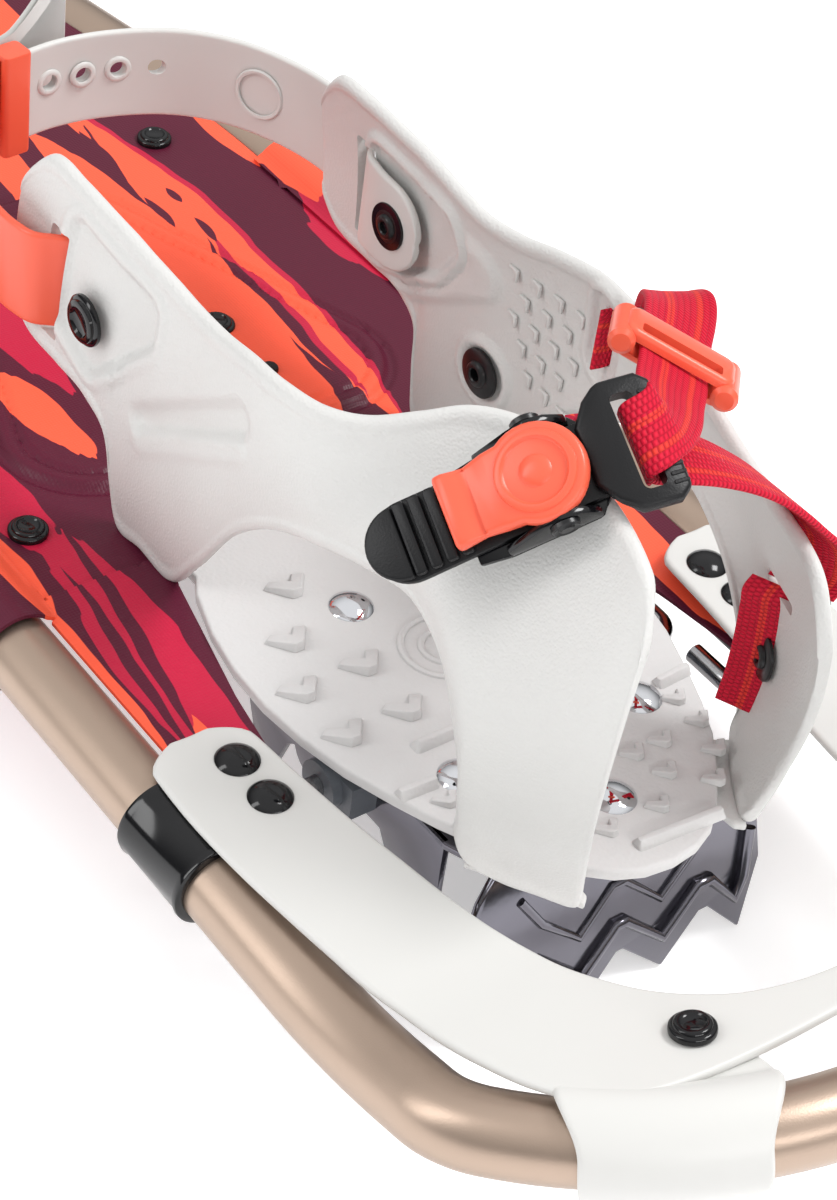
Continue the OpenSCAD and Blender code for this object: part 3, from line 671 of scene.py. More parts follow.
half = half_tube()
loop = half + [(-x, y, z) for x, y, z in reversed(half[1:-1])]
frame_piece = tube("Frame_Tube", loop, TUBE_R, closed=True, sides=14)
settle(frame_piece, "shoe", 60)
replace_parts(dress(frame_piece, champagne), "frame_tube")
print("tube points", len(loop))

# %% [markdown]
# ## The deck
# The sheet lies flat between the rails, has a pressed panel under the heel with a double
# groove, sinks a little round each rivet, and wraps round both rails in the middle. It
# is a grid of points given a thickness with a Solidify modifier.

# %% Deck sheet
DECK_TOP = 49.1
OPENING = [(-78, 42), (-66, 48), (-24, 58), (0, 62), (31, 66)]
PANEL = [(-8, -214), (8, -214), (36, -132), (-36, -132)]
DECK_RIVETS = [(s * x, y) for s in (-1, 1) for x, y in ((70, -104), (60, -250))]
CRAMPON_RIVETS = [(s * 22, y) for s in (-1, 1) for y in (-156, -104)]


def rail_edge(y):
    """Half width of the sheet at y."""
    if y >= -225:
        return 81.0 if y < -70 else 83.4
    if y >= TAPER_Y2:
        return RAIL_X - BEND_R + math.sqrt(BEND_R**2 - (y - BEND_Y) ** 2) - SHEET_GAP
    straight_end = TAIL_C - TAIL_R * math.sin(TAPER)
    if y >= straight_end:
        return TAPER_X - SHEET_GAP - (TAPER_Y2 - y) * math.tan(TAPER)
    return math.sqrt(max(0.0, (TAIL_R - SHEET_GAP) ** 2 - (y - TAIL_C) ** 2))


def deck_height(x, y):
    d = to_polygon(x, y, PANEL) - 25
    panel = 1.5 * soft_step(d - 1, 5) - 1.9 * band(d, -1.6, 1.4, 1.8) - 1.2 * band(d, -7.4, -6, 1.4)
    dimple = sum(-0.9 * soft_step(np.hypot(x - a, y - b) - 10, 12) for a, b in DECK_RIVETS)
    return DECK_TOP + panel + dimple


def grid_faces(n, m, start):
    return [(start + i * m + j, start + (i + 1) * m + j, start + (i + 1) * m + j + 1,
             start + i * m + j + 1)
            for i in range(n - 1) for j in range(m - 1)]


def deck_sheet():
    tail_end = TAIL_C - (TAIL_R - SHEET_GAP)
    rear = list(np.arange(-78, -396, -1.25)) + [
        TAIL_C - (TAIL_R - SHEET_GAP) * math.sin(w) for w in np.linspace(0.2, math.pi / 2 - 0.03,
                                                                         40)]
    rear = [y for y in sorted(set(rear), reverse=True) if y > tail_end + 0.05]
    verts, faces = [], []
    inner_cols, outer_cols = 34, 38
    for y in rear:
        edge = rail_edge(y - 1e-6)
        inner = min(42.0, edge * 0.5)
        right = list(np.linspace(0, inner, inner_cols)) + list(np.linspace(inner, edge, outer_cols))[1:]
        xs = [-x for x in reversed(right[1:])] + right
        verts += [(x, y) for x in xs]
    count = 2 * (inner_cols + outer_cols - 1) - 1
    faces += [tuple(reversed(f)) for f in grid_faces(len(rear), count, 0)]
    fore = list(np.arange(-78, 31.1, 1.25)) + [31]
    inner_line = np.interp(fore, [p[0] for p in OPENING], [p[1] for p in OPENING])
    for side in (1, -1):
        start = len(verts)
        for y, low in zip(fore, inner_line):
            verts += [(side * x, y) for x in np.linspace(low, rail_edge(y), outer_cols)]
        found = grid_faces(len(fore), outer_cols, start)
        faces += found if side < 0 else [tuple(reversed(f)) for f in found]
    flat = np.array(verts)
    z = deck_height(flat[:, 0], flat[:, 1])
    points = [(x, y, h) for (x, y), h in zip(verts, z)]
    wrap = [(81, DECK_TOP), (82.3, 49.35), (83.3, 50.1)] + [
        (RAIL_X + 10.8 * math.cos(math.radians(w)), RAIL_Z + 10.8 * math.sin(math.radians(w)))
        for w in np.linspace(135, -140, 34)]
    rows = np.linspace(-225, -70, 60)
    for side in (1, -1):
        start = len(points)
        for y in rows:
            points += [(side * x, y, h) for x, h in wrap]
        found = grid_faces(len(rows), len(wrap), start)
        faces += found if side < 0 else [tuple(reversed(f)) for f in found]
    return raw_mesh("Deck_Sheet", points, faces)


deck_piece = deck_sheet()
edit(deck_piece)
bpy.ops.mesh.remove_doubles(threshold=0.02)
leave()
up = sum(p.normal.z * p.area for p in deck_piece.data.polygons if abs(p.center.x) < 60)
if up < 0:
    flip(deck_piece)
add_modifier(deck_piece, "SOLIDIFY", thickness=1.1, offset=-1)
settle(deck_piece, "shoe", 50)
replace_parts(dress(deck_piece, printed_deck), "deck")
print("deck triangles about", 2 * len(deck_piece.data.polygons))

# %% [markdown]
# ## Rivets
# The deck rivets are glossy black plastic with two steps and a shallow dish. One profile
# is spun, then copied with its own mesh to every place.

# %% Deck rivets, lug domes and footbed rivets
STEP_RIVET = [(0, 1.9), (2.5, 1.9), (2.9, 2.2), (3.2, 2.5), (3.9, 2.5), (4.3, 2.25), (4.45, 1.7),
              (5.0, 1.6),
              (5.35, 1.3), (5.45, 0.7), (5.4, 0), (2.5, 0), (2.5, -1.2), (3.6, -1.3), (3.6, -2.3),
              (0, -2.4)]


def spread(name, profile, places, body, material, replaced, steps=36):
    first = lathe(name, profile, steps)
    copies = [copy_to(first, p) for p in places]
    bpy.data.objects.remove(first)
    piece = join(copies, name)
    settle(piece, body, 45)
    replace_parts(dress(piece, material), *replaced)
    return piece


spread("Deck_Rivets", STEP_RIVET, [at(x, y, DECK_TOP - 0.8) for x, y in DECK_RIVETS],
       "shoe", black_gloss, ["deck_rivets"])
spread("Heel_Crampon_Rivets", STEP_RIVET, [at(x, y, DECK_TOP + 0.7) for x, y in CRAMPON_RIVETS],
       "shoe", black_gloss, ["heel_crampon_rivets"])
nose_plane = at(0, NOSE_Y, NOSE_Z) @ turn(x=14) @ at(0, -RISE_U, 0)
spread("Nose_Strap_Rivets", STEP_RIVET,
       [nose_plane @ at(s * 43, 78, TUBE_R + 4.6) for s in (-1, 1)],
       "shoe", black_gloss, ["nose_strap_rivets"])
DOME = [(0, 2.3), (1.6, 2.2), (3.2, 1.75), (4.5, 1.1), (5.3, 0.4), (5.6, 0), (5.5, -0.5),
        (2.5, -0.5), (2.5, -9),
        (4, -9), (4, -10), (0, -10)]
spread("Lug_Rivets", DOME, [at(s * 74, y, RAIL_Z + TUBE_R + 4.6) for s in (-1, 1) for y in (0, 14)],
       "shoe", black_gloss, ["lug_rivets"])
FOOT_DOME = [(0, 2.2), (1.8, 2.1), (3.6, 1.6), (5.0, 0.85), (5.7, 0.35), (5.95, 0.05), (5.8, -0.4),
             (2.5, -0.4), (2.5, -8), (3.6, -8), (3.6, -9.4), (0, -9.4)]
FOOT_RIVETS = [(0, 52), (28, 28), (-28, 28), (16, -35), (-16, -35)]
spread("Footbed_Rivets", FOOT_DOME, [at(x, y, 53.2) for x, y in FOOT_RIVETS],
       "binding", chrome, ["footbed_rivets"])

# %% [markdown]
# ## The nose strap
# A white strap follows the raised nose, ends in a lug at each rail, and wraps the tube
# at both front corners. Half of it is a moulded sheet; the other half is its mirror.

# %% Nose strap
STRAP_ROWS = [(-13, 68, 91, 0), (-9, 65.5, 93, 0), (10, 63.5, 94, 0), (30, 61, 93, 0),
              (48, 58, 91, 0),
              (60, 56, 89.5, 0), (72, 54, 88.5, 0), (84, 51.5, 87, 0), (94, 49, 86, 1),
              (103, 45, 84, 3),
              (111, 40, 80, 8), (118, 33, 73, 12), (124, 24, 59, 13), (128, 12, 34, 12),
              (129.5, 0, 0, 11)]


def strap_z(y):
    if y < RISE_Y:
        return RAIL_Z
    if y < NOSE_Y:
        return RAIL_Z + RISE_R - math.sqrt(RISE_R**2 - (y - RISE_Y) ** 2)
    return NOSE_Z + (y - NOSE_Y) * math.tan(NOSE)


def strap_half():
    knots = range(len(STRAP_ROWS))
    fine = through(knots, STRAP_ROWS, np.linspace(0, len(STRAP_ROWS) - 1, 110))
    cols = edge_spaced(26, 1.6, 1.3) / 26
    mid = np.zeros((len(fine), len(cols), 3))
    for i, (y, low, high, back) in enumerate(fine):
        trim = max(0.0, 1 - (y + 13) / 7) ** 2 * 0.28
        for j, u in enumerate(cols):
            w = trim + u * (1 - 2 * trim)
            yy = y + back * w
            mid[i, j] = (low + (high - low) * w, yy, strap_z(yy) + TUBE_R + 3.15)
    return mid


def wrap_half():
    angles = np.radians(np.linspace(150, -150, 60))
    rows = edge_spaced(1, 0.05, 0.05)
    mid = np.zeros((len(angles), len(rows), 3))
    for i, a in enumerate(angles):
        spread_half = 10 + 3.5 * max(0.0, math.cos(a - 1.9)) ** 2
        reach = FRONT_R + (TUBE_R + 1.7) * math.cos(a)
        lift = (TUBE_R + 1.7) * math.sin(a) + 1.3 * max(0.0, math.sin(a)) ** 4
        if math.degrees(a) > 120:
            reach -= (math.degrees(a) - 120) * 0.16
            lift += (math.degrees(a) - 120) * 0.11
        for j, v in enumerate(rows):
            w = math.radians(56 + spread_half * (2 * v - 1))
            mid[i, j] = on_nose(reach * math.cos(w), FRONT_C + reach * math.sin(w), lift)
    return mid


def both(piece):
    """Joins a piece with its mirror image across the middle of the shoe."""
    twin = copy_to(piece, MIRROR)
    flip(twin)
    return join([piece, twin], piece.name)


nose_strap = both(join([moulded_sheet("Nose_Strap", strap_half(), 1.25, 1.3),
                        moulded_sheet("Wrap", wrap_half(), 1.2, 1.2)], "Nose_Strap"))
settle(nose_strap, "shoe", 60)
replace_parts(dress(nose_strap, smooth_white), "nose_strap")

# %% [markdown]
# ## Bands, rods and bushes
# A glossy black band ties each bent rod to its rail. The band is spun round the rail's
# axis; the rods and bushes are exact in the engineering model and only get a finish.

# %% Toe cord bands and carried-over metal
BAND = [(9.55, 13), (11.1, 13), (11.6, 12.6), (11.75, 11.8), (11.3, 10.6), (11.3, -10.6),
        (11.75, -11.8),
        (11.6, -12.6), (11.1, -13), (9.55, -13), (9.55, 13)]
ROD_SLEEVE = [(2.8, 13), (4.3, 13), (4.7, 12.2), (4.7, -12.2), (4.3, -13), (2.8, -13), (2.8, 13)]
for side, name in ((1, "outer"), (-1, "inner")):
    collar = lathe("Toe_Cord_Band_" + name, BAND, 64)
    collar.data.transform(at(side * RAIL_X, 8, RAIL_Z) @ turn(x=90))
    sleeve = lathe("Rod_Sleeve", ROD_SLEEVE, 28)
    sleeve.data.transform(at(side * 77.4, 8, 41) @ turn(x=90))
    web = plate("Band_Web", rounded(77.4, 83, -5, 21, 1.2), -3.4, 3.4, 0.8)
    web.data.transform((MIRROR if side < 0 else Matrix.Identity(4)) @ at(0, 0, 41))
    if side < 0:
        flip(web)
    piece = join([collar, sleeve, web], "Toe_Cord_Band_" + name)
    settle(piece, "shoe", 40)
    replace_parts(dress(piece, black_gloss), "toe_cord_band_" + name)
for name, material in (("d_ring_outer", bright_steel), ("d_ring_inner", bright_steel),
                       ("bush_outer", grey_plastic), ("bush_inner", grey_plastic),
                       ("heel_crampon", crampon_steel), ("buckle_rivets", black_metal)):
    dress(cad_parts[name], material)

tie = plate("Heel_Tie", rounded(-26, 26, -133.5, -128.5, 2.2), DECK_TOP, 52.1, 0.7)
knurls = [plate("Knurl", rounded(x, x + 1.1, -133.2, -128.8, 0.3, 2), 51.9, 52.6, 0.2)
          for x in np.arange(-23, 23, 2.3)]
legs = [plate("Leg", rounded(s * 24 - 1.8, s * 24 + 1.8, -133.4, -128.6, 0.8, 3), 46.6, 50,
              0.3) for s in (-1, 1)]
tie = settle(join([tie] + knurls + legs, "Heel_Tie"), "shoe", 40)
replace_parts(dress(tie, black_matte), "heel_tie")

# %% [markdown]
# ## The toe crampon
# Pressed steel: a base under the footbed, a toothed front turned down at a slant with a
# pressed zig-zag rib that follows the teeth, and a plate down each side.

# %% Toe crampon
TEETH = [(39, 48.6), (29, 38), (26, 38), (13, 48.6), (1, 38), (-1, 38), (-13, 48.6), (-26, 38),
         (-29, 38), (-39, 48.6)]
front_outline = [(-37, 0), (37, 0), (42, 6), (46, 14),
                 (46.5, 30)] + TEETH + [(-46.5, 30), (-46, 14), (-42, 6)]
front_place = at(0, 54.5, 47.3) @ turn(x=107) @ Matrix.Scale(-1, 4, (0, 1, 0))
base = plate("Toe_Crampon", [(-41, -42), (41, -42), (41, 40), (34, 56.5), (-34, 56.5), (-41, 40)],
             45.2, 47.4, 0.6)
cut(base, lathe("Hole", [(0, -3), (4.1, -3), (4.1, 3), (0, 3)], 24))
front = plate("Front", front_outline, 0, 2.2, 0.7)
ZIG = [(-43, 20), (-40.5, 33), (-37, 38.5), (-29.5, 29.5), (-25, 29.5), (-13, 39.5), (-1.5, 29.5),
       (1.5, 29.5),
       (13, 39.5), (25, 29.5), (29.5, 29.5), (37, 38.5), (40.5, 33), (43, 20)]
HIGH_ZIG = [(-30, 10), (-24, 19), (-13, 28), (-2, 18), (2, 18), (13, 28), (24, 19), (30, 10)]
ribs = [tube("Rib", [(x, y, z) for x, y in line], r, sides=4)
        for line, r, z in ((ZIG, 1.7, -0.2), (HIGH_ZIG, 1.3, 0.0))]
fold = tube("Fold", [(-37, 0.2, 1.0), (37, 0.2, 1.0)], 1.5, sides=6)
front = join([front, fold] + ribs, "Front")
front.data.transform(front_place)
flip(front)
side_outline = [(42, 47.4), (42, 30), (36, 14), (28, 14), (23.5, 26)] + arc(13, 31, 8, -20, -160,
                                                                            8) + [
    (-4, 31), (-16, 31), (-22, 22), (-34, 16), (-40, 20), (-40, 47.4)]
sides = []
for s in (1, -1):
    wall = plate("Side", side_outline, 0, 2.2, 0.6)
    wall.data.transform(at(41 if s > 0 else -38.8, 0, 0) @ turn(x=90, z=-90))
    sides.append(wall)
crampon = join([base, front] + sides, "Toe_Crampon")
faces_out(crampon)
settle(crampon, "binding", 40)
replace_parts(dress(crampon, crampon_steel), "toe_crampon")

# %% [markdown]
# ## The footbed
# A moulded pad with wedge-shaped cleats that grip a sole, small ones under the toes, two
# long bars, and a plain ring in the middle.

# %% Footbed
FOOTBED = [(0, 75.5), (8, 74.5), (15, 71.5), (21, 66.5), (29, 57.5), (36.5, 47), (41.5, 37),
           (46, 26), (51, 12),
           (54, -2), (55.5, -16), (55, -30), (52.5, -44), (48, -58), (44.5, -64), (44, -80),
           (42, -91), (38, -97)]
outline = [(-x, y) for x, y in reversed(FOOTBED[1:])] + FOOTBED
pad = plate("Footbed", list(reversed(outline)), 49.6, 53.2, 0.9, 3, 60)


STUD_Z = 53.1


def cleat(x, y, size, heading, height=2.9):
    arms = [(1.2, 0), (6.6, 4.2), (4.4, 7.6), (-3.2, 1.6), (-3.2, -1.6), (4.4, -7.6), (6.6, -4.2)]
    piece = plate("Cleat", [(a * size, b * size) for a, b in arms], 0, height, 0)
    for v in piece.data.vertices:
        if v.co.z > 0.1:
            v.co.z = height * (1.0 - 0.75 * min(1, max(0, v.co.x / size - 1.0) / 5))
            v.co.x = v.co.x * 0.92 + 0.25
            v.co.y = v.co.y * 0.9
    add_modifier(piece, "BEVEL", width=0.25, segments=1)
    piece.data.transform(at(x, y, STUD_Z) @ turn(z=heading))
    return piece


def bar(x, y, length, heading, width=4.2):
    piece = plate("Bar", rounded(-length / 2, length / 2, -width / 2, width / 2, 0.8, 2), 0, 2.4, 0)
    for v in piece.data.vertices:
        if v.co.z > 0.1:
            v.co.y *= 0.35
            v.co.x *= 0.95
    add_modifier(piece, "BEVEL", width=0.3, segments=2)
    piece.data.transform(at(x, y, STUD_Z) @ turn(z=heading))
    return piece


studs = [bar(0, 15, 66, 0, 4.4), bar(-7, 68.5, 26, -4), bar(40, 26.5, 11, -3), bar(-40, 26.5, 11,
                                                                                   3)]
for s in (1, -1):
    for x, y in ((26, -47), (37, -30), (45, -13.5), (26, -14), (44, 4.5), (26, 4.5)):
        studs.append(cleat(s * x, y, 0.86, -90))
for x, y in ((36, 34), (36, 43), (23, 44), (33, 53), (14, 44), (17, 53), (26, 61), (8, 61)):
    studs += [cleat(s * x, y, 0.55, -90, 2.2) for s in (1, -1)]
RING = [(10.2, 0), (10.4, 0.7), (11.2, 1.0), (12, 0.7), (12.2, 0)]
for r in (0, -5.2):
    ring = lathe("Ring", [(a + r, b) for a, b in RING], 48)
    ring.data.transform(at(4, -11, STUD_Z))
    studs.append(ring)
footbed = settle(join([pad] + studs, "Footbed"), "binding", 35)
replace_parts(dress(footbed, footbed_white), "footbed")
print("footbed studs", len(studs))

# %% [markdown]
# ## The wings
# Two soft moulded walls hold the boot. Each is described by upright stations from heel to
# toe: the point on its upper edge, the point on its lower edge, and how far it bulges
# out and forward half way down. A smooth surface runs through the stations.

# %% Wing stations
WING_REAR = [((45, -146, 133), (49.5, -145, 88), 1, -3), ((44, -139, 136.5), (50, -138, 85), 1.5,
                                                          0),
             ((44, -124, 137), (50, -122, 83.5), 2, 0), ((44, -109, 136), (50, -108, 82), 2, 0),
             ((44, -101, 135.5), (49.4, -99.5, 76), 2, 0), ((44, -97, 135), (48.6, -97, 62), 2, 0),
             ((44, -93, 134.5), (48, -94, 50), 2, 0), ((43.5, -82, 133), (48, -82, 50), 2.5, 0),
             ((43.5, -72, 132), (48, -68, 50), 3, 0), ((44.5, -60, 133), (48.5, -57, 63), 3, 0),
             ((46, -46, 136), (48, -43, 84), 2.5, 0), ((47, -32, 138), (48, -28, 97), 2, 0)]
WING_OUTER = [((45, -18, 139.5), (47, -12, 104), 2, 0), ((40, -8, 142), (43, 4, 106.5), 3, 0),
              ((33, 1, 147), (39, 17, 105), 5, 0), ((26, 9, 151.5), (39, 29, 98), 7, 0),
              ((20, 20, 153.5), (40.5, 38, 87), 9, 0), ((18, 33, 153), (41.5, 45, 72), 10, 0),
              ((19, 48, 152.5), (42, 49, 52), 9, 0), ((21, 60, 150.5), (36.2, 56.5, 48), 9, 1),
              ((23.5, 70, 147), (31, 64, 48), 8, 3), ((24.5, 75, 141), (25.6, 72.5, 48), 7, 4)]
WING_INNER = [((45, -18, 139), (47, -12, 104), 2, 0), ((43.5, -5, 139.5), (46, 4, 106.5), 3, 0),
              ((41, 6, 139), (44, 17, 105), 4, 0), ((39, 18, 137), (42.5, 29, 98), 5, 0),
              ((37, 30, 134), (42, 38, 87), 6, 0), ((35, 42, 132), (42, 45, 72), 6, 0),
              ((33, 54, 130.5), (42, 49, 52), 6, 0), ((31, 64, 129), (36.2, 56.5, 48), 6, 1),
              ((28.5, 72, 127), (31, 64, 48), 5, 3), ((27, 77, 122), (25.6, 72.5, 48), 6, 3)]
WING_ROLL = 2.3


def corner_trim(distance, radius):
    if distance >= radius:
        return 0.0
    return radius - math.sqrt(max(0.0, radius**2 - (radius - distance) ** 2))


def wing_grid(stations, rear_corners, front_corners):
    top = np.array([s[0] for s in stations], float)
    low = np.array([s[1] for s in stations], float)
    bulge = np.array([(s[2], s[3], 0) for s in stations], float)
    middle = (top + low) / 2
    knots = np.concatenate([[0], np.cumsum(np.linalg.norm(np.diff(middle, axis=0), axis=1))])
    length = knots[-1]
    q = edge_spaced(length, 1.0, WING_ROLL)
    q = np.unique(np.concatenate([q, np.linspace(0, 9, 12), length - np.linspace(0, 9, 12)]))
    top, low, bulge = (through(knots, v, q) for v in (top, low, bulge))
    t = edge_spaced(78, 1.0, WING_ROLL) / 78
    mid = np.zeros((len(q), len(t), 3))
    for i, s in enumerate(q):
        height = np.linalg.norm(top[i] - low[i])
        cut_top = max(corner_trim(s, rear_corners[0]),
                      corner_trim(length - s, front_corners[0])) / height
        cut_low = max(corner_trim(s, rear_corners[1]),
                      corner_trim(length - s, front_corners[1])) / height
        w = (cut_top + t * (1 - cut_top - cut_low))[:, None]
        mid[i] = top[i] * (1 - w) + low[i] * w + bulge[i] * 4 * w * (1 - w)
    return mid


# %% [markdown]
# ### Relief on the wings
# The outer wing has a sunken panel with a raised rim round its rivet, and a soft crease
# in front of it. The inner wing shows its inside: a drop-shaped rim round the end of
# the heel strap, a ramp, a ring round the screw and a sunken field at the webbing slot.

# %% Wing relief and wings


def outer_relief(y, z):
    panel = to_polygon(y, z, [(-119, 100), (-108, 95.5), (-89, 114), (-89, 120), (-119, 124)]) - 4
    lift = -1.8 * soft_step(panel, 2.4) + 0.6 * band(panel, 1.2, 4.2, 1.8)
    crease = to_capsule(y, z, (-86, 90), (-44, 119), 3.2, 4.2)
    lift += -2.0 * soft_step(crease, 4.5) + 0.5 * band(to_capsule(y, z, (-85, 84), (-42, 112), 2,
                                                                  2), -2, 1.5, 3)
    return lift


def inner_relief(y, z):
    drop = to_polygon(y, z, [(-119, 94), (-108, 96), (-94, 105), (-87, 115), (-89, 119),
                             (-119, 121)]) - 6
    lift = 1.6 * band(drop, -1.3, 1.7, 1.6) - 0.9 * soft_step(drop + 1.4, 1.6)
    ramp = to_capsule(y, z, (-108, 104), (-74, 113), 19, 8)
    lift += 1.5 * soft_step(ramp, 4.0) * soft_step(-(drop - 3.2), 2.5)
    ring = np.hypot(y + 69, z - 83)
    lift += 1.3 * band(ring, 8, 10.8, 1.2)
    slot = to_capsule(y, z, (-26.5, 115), (-26.5, 130), 5.5, 5.5)
    lift += -1.0 * soft_step(slot, 1.4) + 0.7 * band(slot, 0.6, 2.8, 1.2)
    return lift


def border_rim(mid, near, far, height):
    across = np.concatenate([np.zeros((mid.shape[0], 1)), np.cumsum(
        np.linalg.norm(np.diff(mid, axis=1), axis=2), axis=1)], axis=1)
    d = np.minimum(across, across[:, -1:] - across)
    return height * band(d, near, far, 1.4)


def slot_cutter(x0, x1, y0, y1, z0, z1):
    cutter = plate("Slot", rounded(y0, y1, z0, z1, 1.2, 4), x0, x1, 0)
    cutter.data.transform(Matrix(((0, 0, 1, 0), (1, 0, 0, 0), (0, 1, 0, 0), (0, 0, 0, 1))))
    return cutter


def hook_under():
    """The foot of a wing, folded flat under the footbed."""
    return plate("Wing_Foot", [(42, 48.5), (37.5, 46), (32, 34), (24, 34), (20, 40), (23, 71.5),
                               (25.4, 73.5),
                                (31, 64), (36.2, 56.5)], 47.5, 49.5, 0.6)


def nub(y, z, mid):
    """A small L-shaped nub on the inner wing's inside, in the wing's own plane."""
    flat = np.hypot(mid[..., 1] - y, mid[..., 2] - z)
    i, j = np.unravel_index(np.argmin(flat), flat.shape)
    arm = plate("Nub", [(-2.2, 1.6), (-2.2, 0.9), (0.4, 0.5), (0.4, -2.4), (1.6, -2.4), (1.6, 1.4)],
                0, 1.1, 0.25, 1)
    arm.data.transform(at(mid[i, j, 0] - 1.8, y, z) @ Matrix(((0, 0, -1, 0), (1, 0, 0, 0),
                                                              (0, 1, 0, 0), (0, 0, 0, 1))))
    flip(arm)
    return arm


outer_mid = wing_grid(WING_REAR + WING_OUTER, (9, 7), (9, 3))
inner_mid = wing_grid(WING_REAR + WING_INNER, (9, 7), (14, 3))
HALF = 1.65
outer = moulded_sheet("Wing_Outer", outer_mid, HALF,
                      WING_ROLL, None,
                      outer_relief(outer_mid[..., 1],
                                   outer_mid[..., 2]) + border_rim(outer_mid, 0.4, 4.2, 0.45))
inner = moulded_sheet("Wing_Inner", inner_mid, HALF, WING_ROLL,
                      inner_relief(inner_mid[..., 1],
                                   inner_mid[..., 2]) + border_rim(inner_mid, 0.4, 3.8, 0.5), None)


for wing in (outer, inner):
    faces_out(wing)
    cut(wing, slot_cutter(40, 60, -131.4, -123.4, 90.6, 122))
cut(inner, slot_cutter(30, 70, -28.6, -24.4, 113.5, 131))
cut(inner, slot_cutter(30, 70, 46.5, 60.5, 101.6, 105.2))
NUBS = [(-60 + 8 * k + (4 if r % 2 else 0), 92 + 7.4 * r) for r in range(5) for k in range(4)]
nubs = [nub(y, z, inner_mid) for y, z in NUBS if y < -33 and not (y < -56 and z < 98)]
inner = join([inner, hook_under()] + nubs, "Wing_Inner")
outer = join([outer, hook_under()], "Wing_Outer")
inner.data.transform(MIRROR)
flip(inner)
for piece, replaced in ((outer, "wing_outer"), (inner, "wing_inner")):
    settle(piece, "binding", 50)
    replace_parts(dress(piece, white_tpu), replaced)
    print(piece.name, "triangles", sum(len(p.vertices) - 2 for p in piece.data.polygons))

# %% [markdown]
# ## Heel strap, side strap and keeper
# The white band comes from the inner wing round the heel and has a row of holes; the
# coral strap comes from the outer wing, and a coral loop holds the two together.

# %% Straps round the heel
REAR_LOOP = [(-43.9, -98.5), (-44, -119), (-45.2, -124), (-49.5, -128.2), (-53.8, -131.8),
             (-55.6, -138), (-56, -150),
             (-55.5, -162), (-52, -176), (-45, -190), (-34, -201), (-18, -208), (0, -210.5),
             (16, -208.5)]
NEAR_LOOP = [(24, -209.5), (36, -202), (46, -190.5), (52.5, -176), (55.7, -162), (56, -150),
             (55.6, -138),
             (53.8, -131.8), (49.5, -128.2), (45.2, -124), (44, -119), (43.9, -102)]


def band_grid(path, low, high, step=1.5, round_start=0.0, round_end=0.0, taper=0.0):
    p = np.array(path, float)
    knots = np.concatenate([[0], np.cumsum(np.linalg.norm(np.diff(p, axis=0), axis=1))])
    q = edge_spaced(knots[-1], step, 1.1)
    line = through(knots, p, q)
    t = edge_spaced(high - low, 1.5, 1.1) / (high - low)
    mid = np.zeros((len(q), len(t), 3))
    for i, s in enumerate(q):
        trim = max(corner_trim(s, round_start), corner_trim(knots[-1] - s,
                                                            round_end)) / (high - low)
        trim += taper * max(0.0, 1 - s / 26) / (high - low) * (1 - 2 * trim)
        for j, v in enumerate(t):
            mid[i, j] = (line[i][0], line[i][1], low + (high - low) * (trim + v * (1 - 2 * trim)))
    return mid


heel = faces_out(moulded_sheet("Heel_Strap", band_grid(REAR_LOOP, 92, 120, round_start=12,
                                                       taper=1.2), 1.1, 1.1))
HOLE_X, HOLE_STEP, HOLE_Z = -28, 10.6, 108
LIP_TURNS = (-12, -3, 4, 4)
for k in range(5):
    peg = lathe("Peg", [(0, -15), (2.4, -15), (2.4, 15), (0, 15)], 24)
    peg.data.transform(at(HOLE_X + HOLE_STEP * k, -200, HOLE_Z) @ turn(x=90))
    cut(heel, peg)
    if k:
        lip = lathe("Lip", [(2.3, 0), (2.5, 0.55), (3.2, 0.7), (3.9, 0.4), (4.1, 0)], 28)
        x = HOLE_X + HOLE_STEP * k
        y = float(np.interp(x, [p[0] for p in REAR_LOOP[8:]], [p[1] for p in REAR_LOOP[8:]]))
        lip.data.transform(at(x, y + 1.0, HOLE_Z) @ turn(x=-90, z=LIP_TURNS[k - 1]))
        heel = join([heel, lip], "Heel_Strap")
TAIL_TIP = [(27, -212.5), (20, -213.5), (12, -215.5), (3, -219.5), (-6, -225), (-14, -232)]
tail = band_grid(TAIL_TIP, 0, 1, 1.5)
spread_to = np.interp(np.linspace(0, 1, tail.shape[0]), [0, 0.35, 0.8, 1], [9, 9, 15, 13])
for i in range(tail.shape[0]):
    w = tail[i, :, 2].copy()
    tail[i, :, 2] = 107 + i / tail.shape[0] * 9 + (w * 2 - 1) * spread_to[i]
heel = join([heel, faces_out(moulded_sheet("Heel_Tail", tail, 0.9, 0.9))], "Heel_Strap")
emblem = lathe("Emblem", [(6.4, 0), (6.6, 0.4), (7.4, 0.5), (7.8, 0)], 40)
emblem.data.transform(at(-48.1, -180.9, 106) @ turn(y=90, z=26))
heel = join([heel, emblem], "Heel_Strap")
settle(heel, "binding", 50)
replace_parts(dress(heel, smooth_white), "heel_strap")

side = faces_out(moulded_sheet("Side_Strap", band_grid(NEAR_LOOP, 92, 120, round_end=11), 1.1, 1.1))
settle(side, "binding", 50)
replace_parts(dress(side, coral_tpu), "side_strap")

keeper = plate("Heel_Keeper", rounded(-4.5, 4.5, -4, 4, 1.6), 90, 122, 0.7)
hollow = plate("Hollow", [(-12, -1.7), (12, -1.7), (12, 1.7), (-12, 1.7)], 91.6, 120.4, 0)
cut(keeper, hollow)
settle(keeper, "keeper", 40, at(16.5, -208.4, 0) @ turn(z=6))
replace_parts(dress(keeper, coral_tpu), "heel_keeper")

# %% [markdown]
# ## Wing rivets and screws
# Outside, each wing has a large two-step rivet. Inside, the inner wing shows flat matte
# washers with a socket screw.

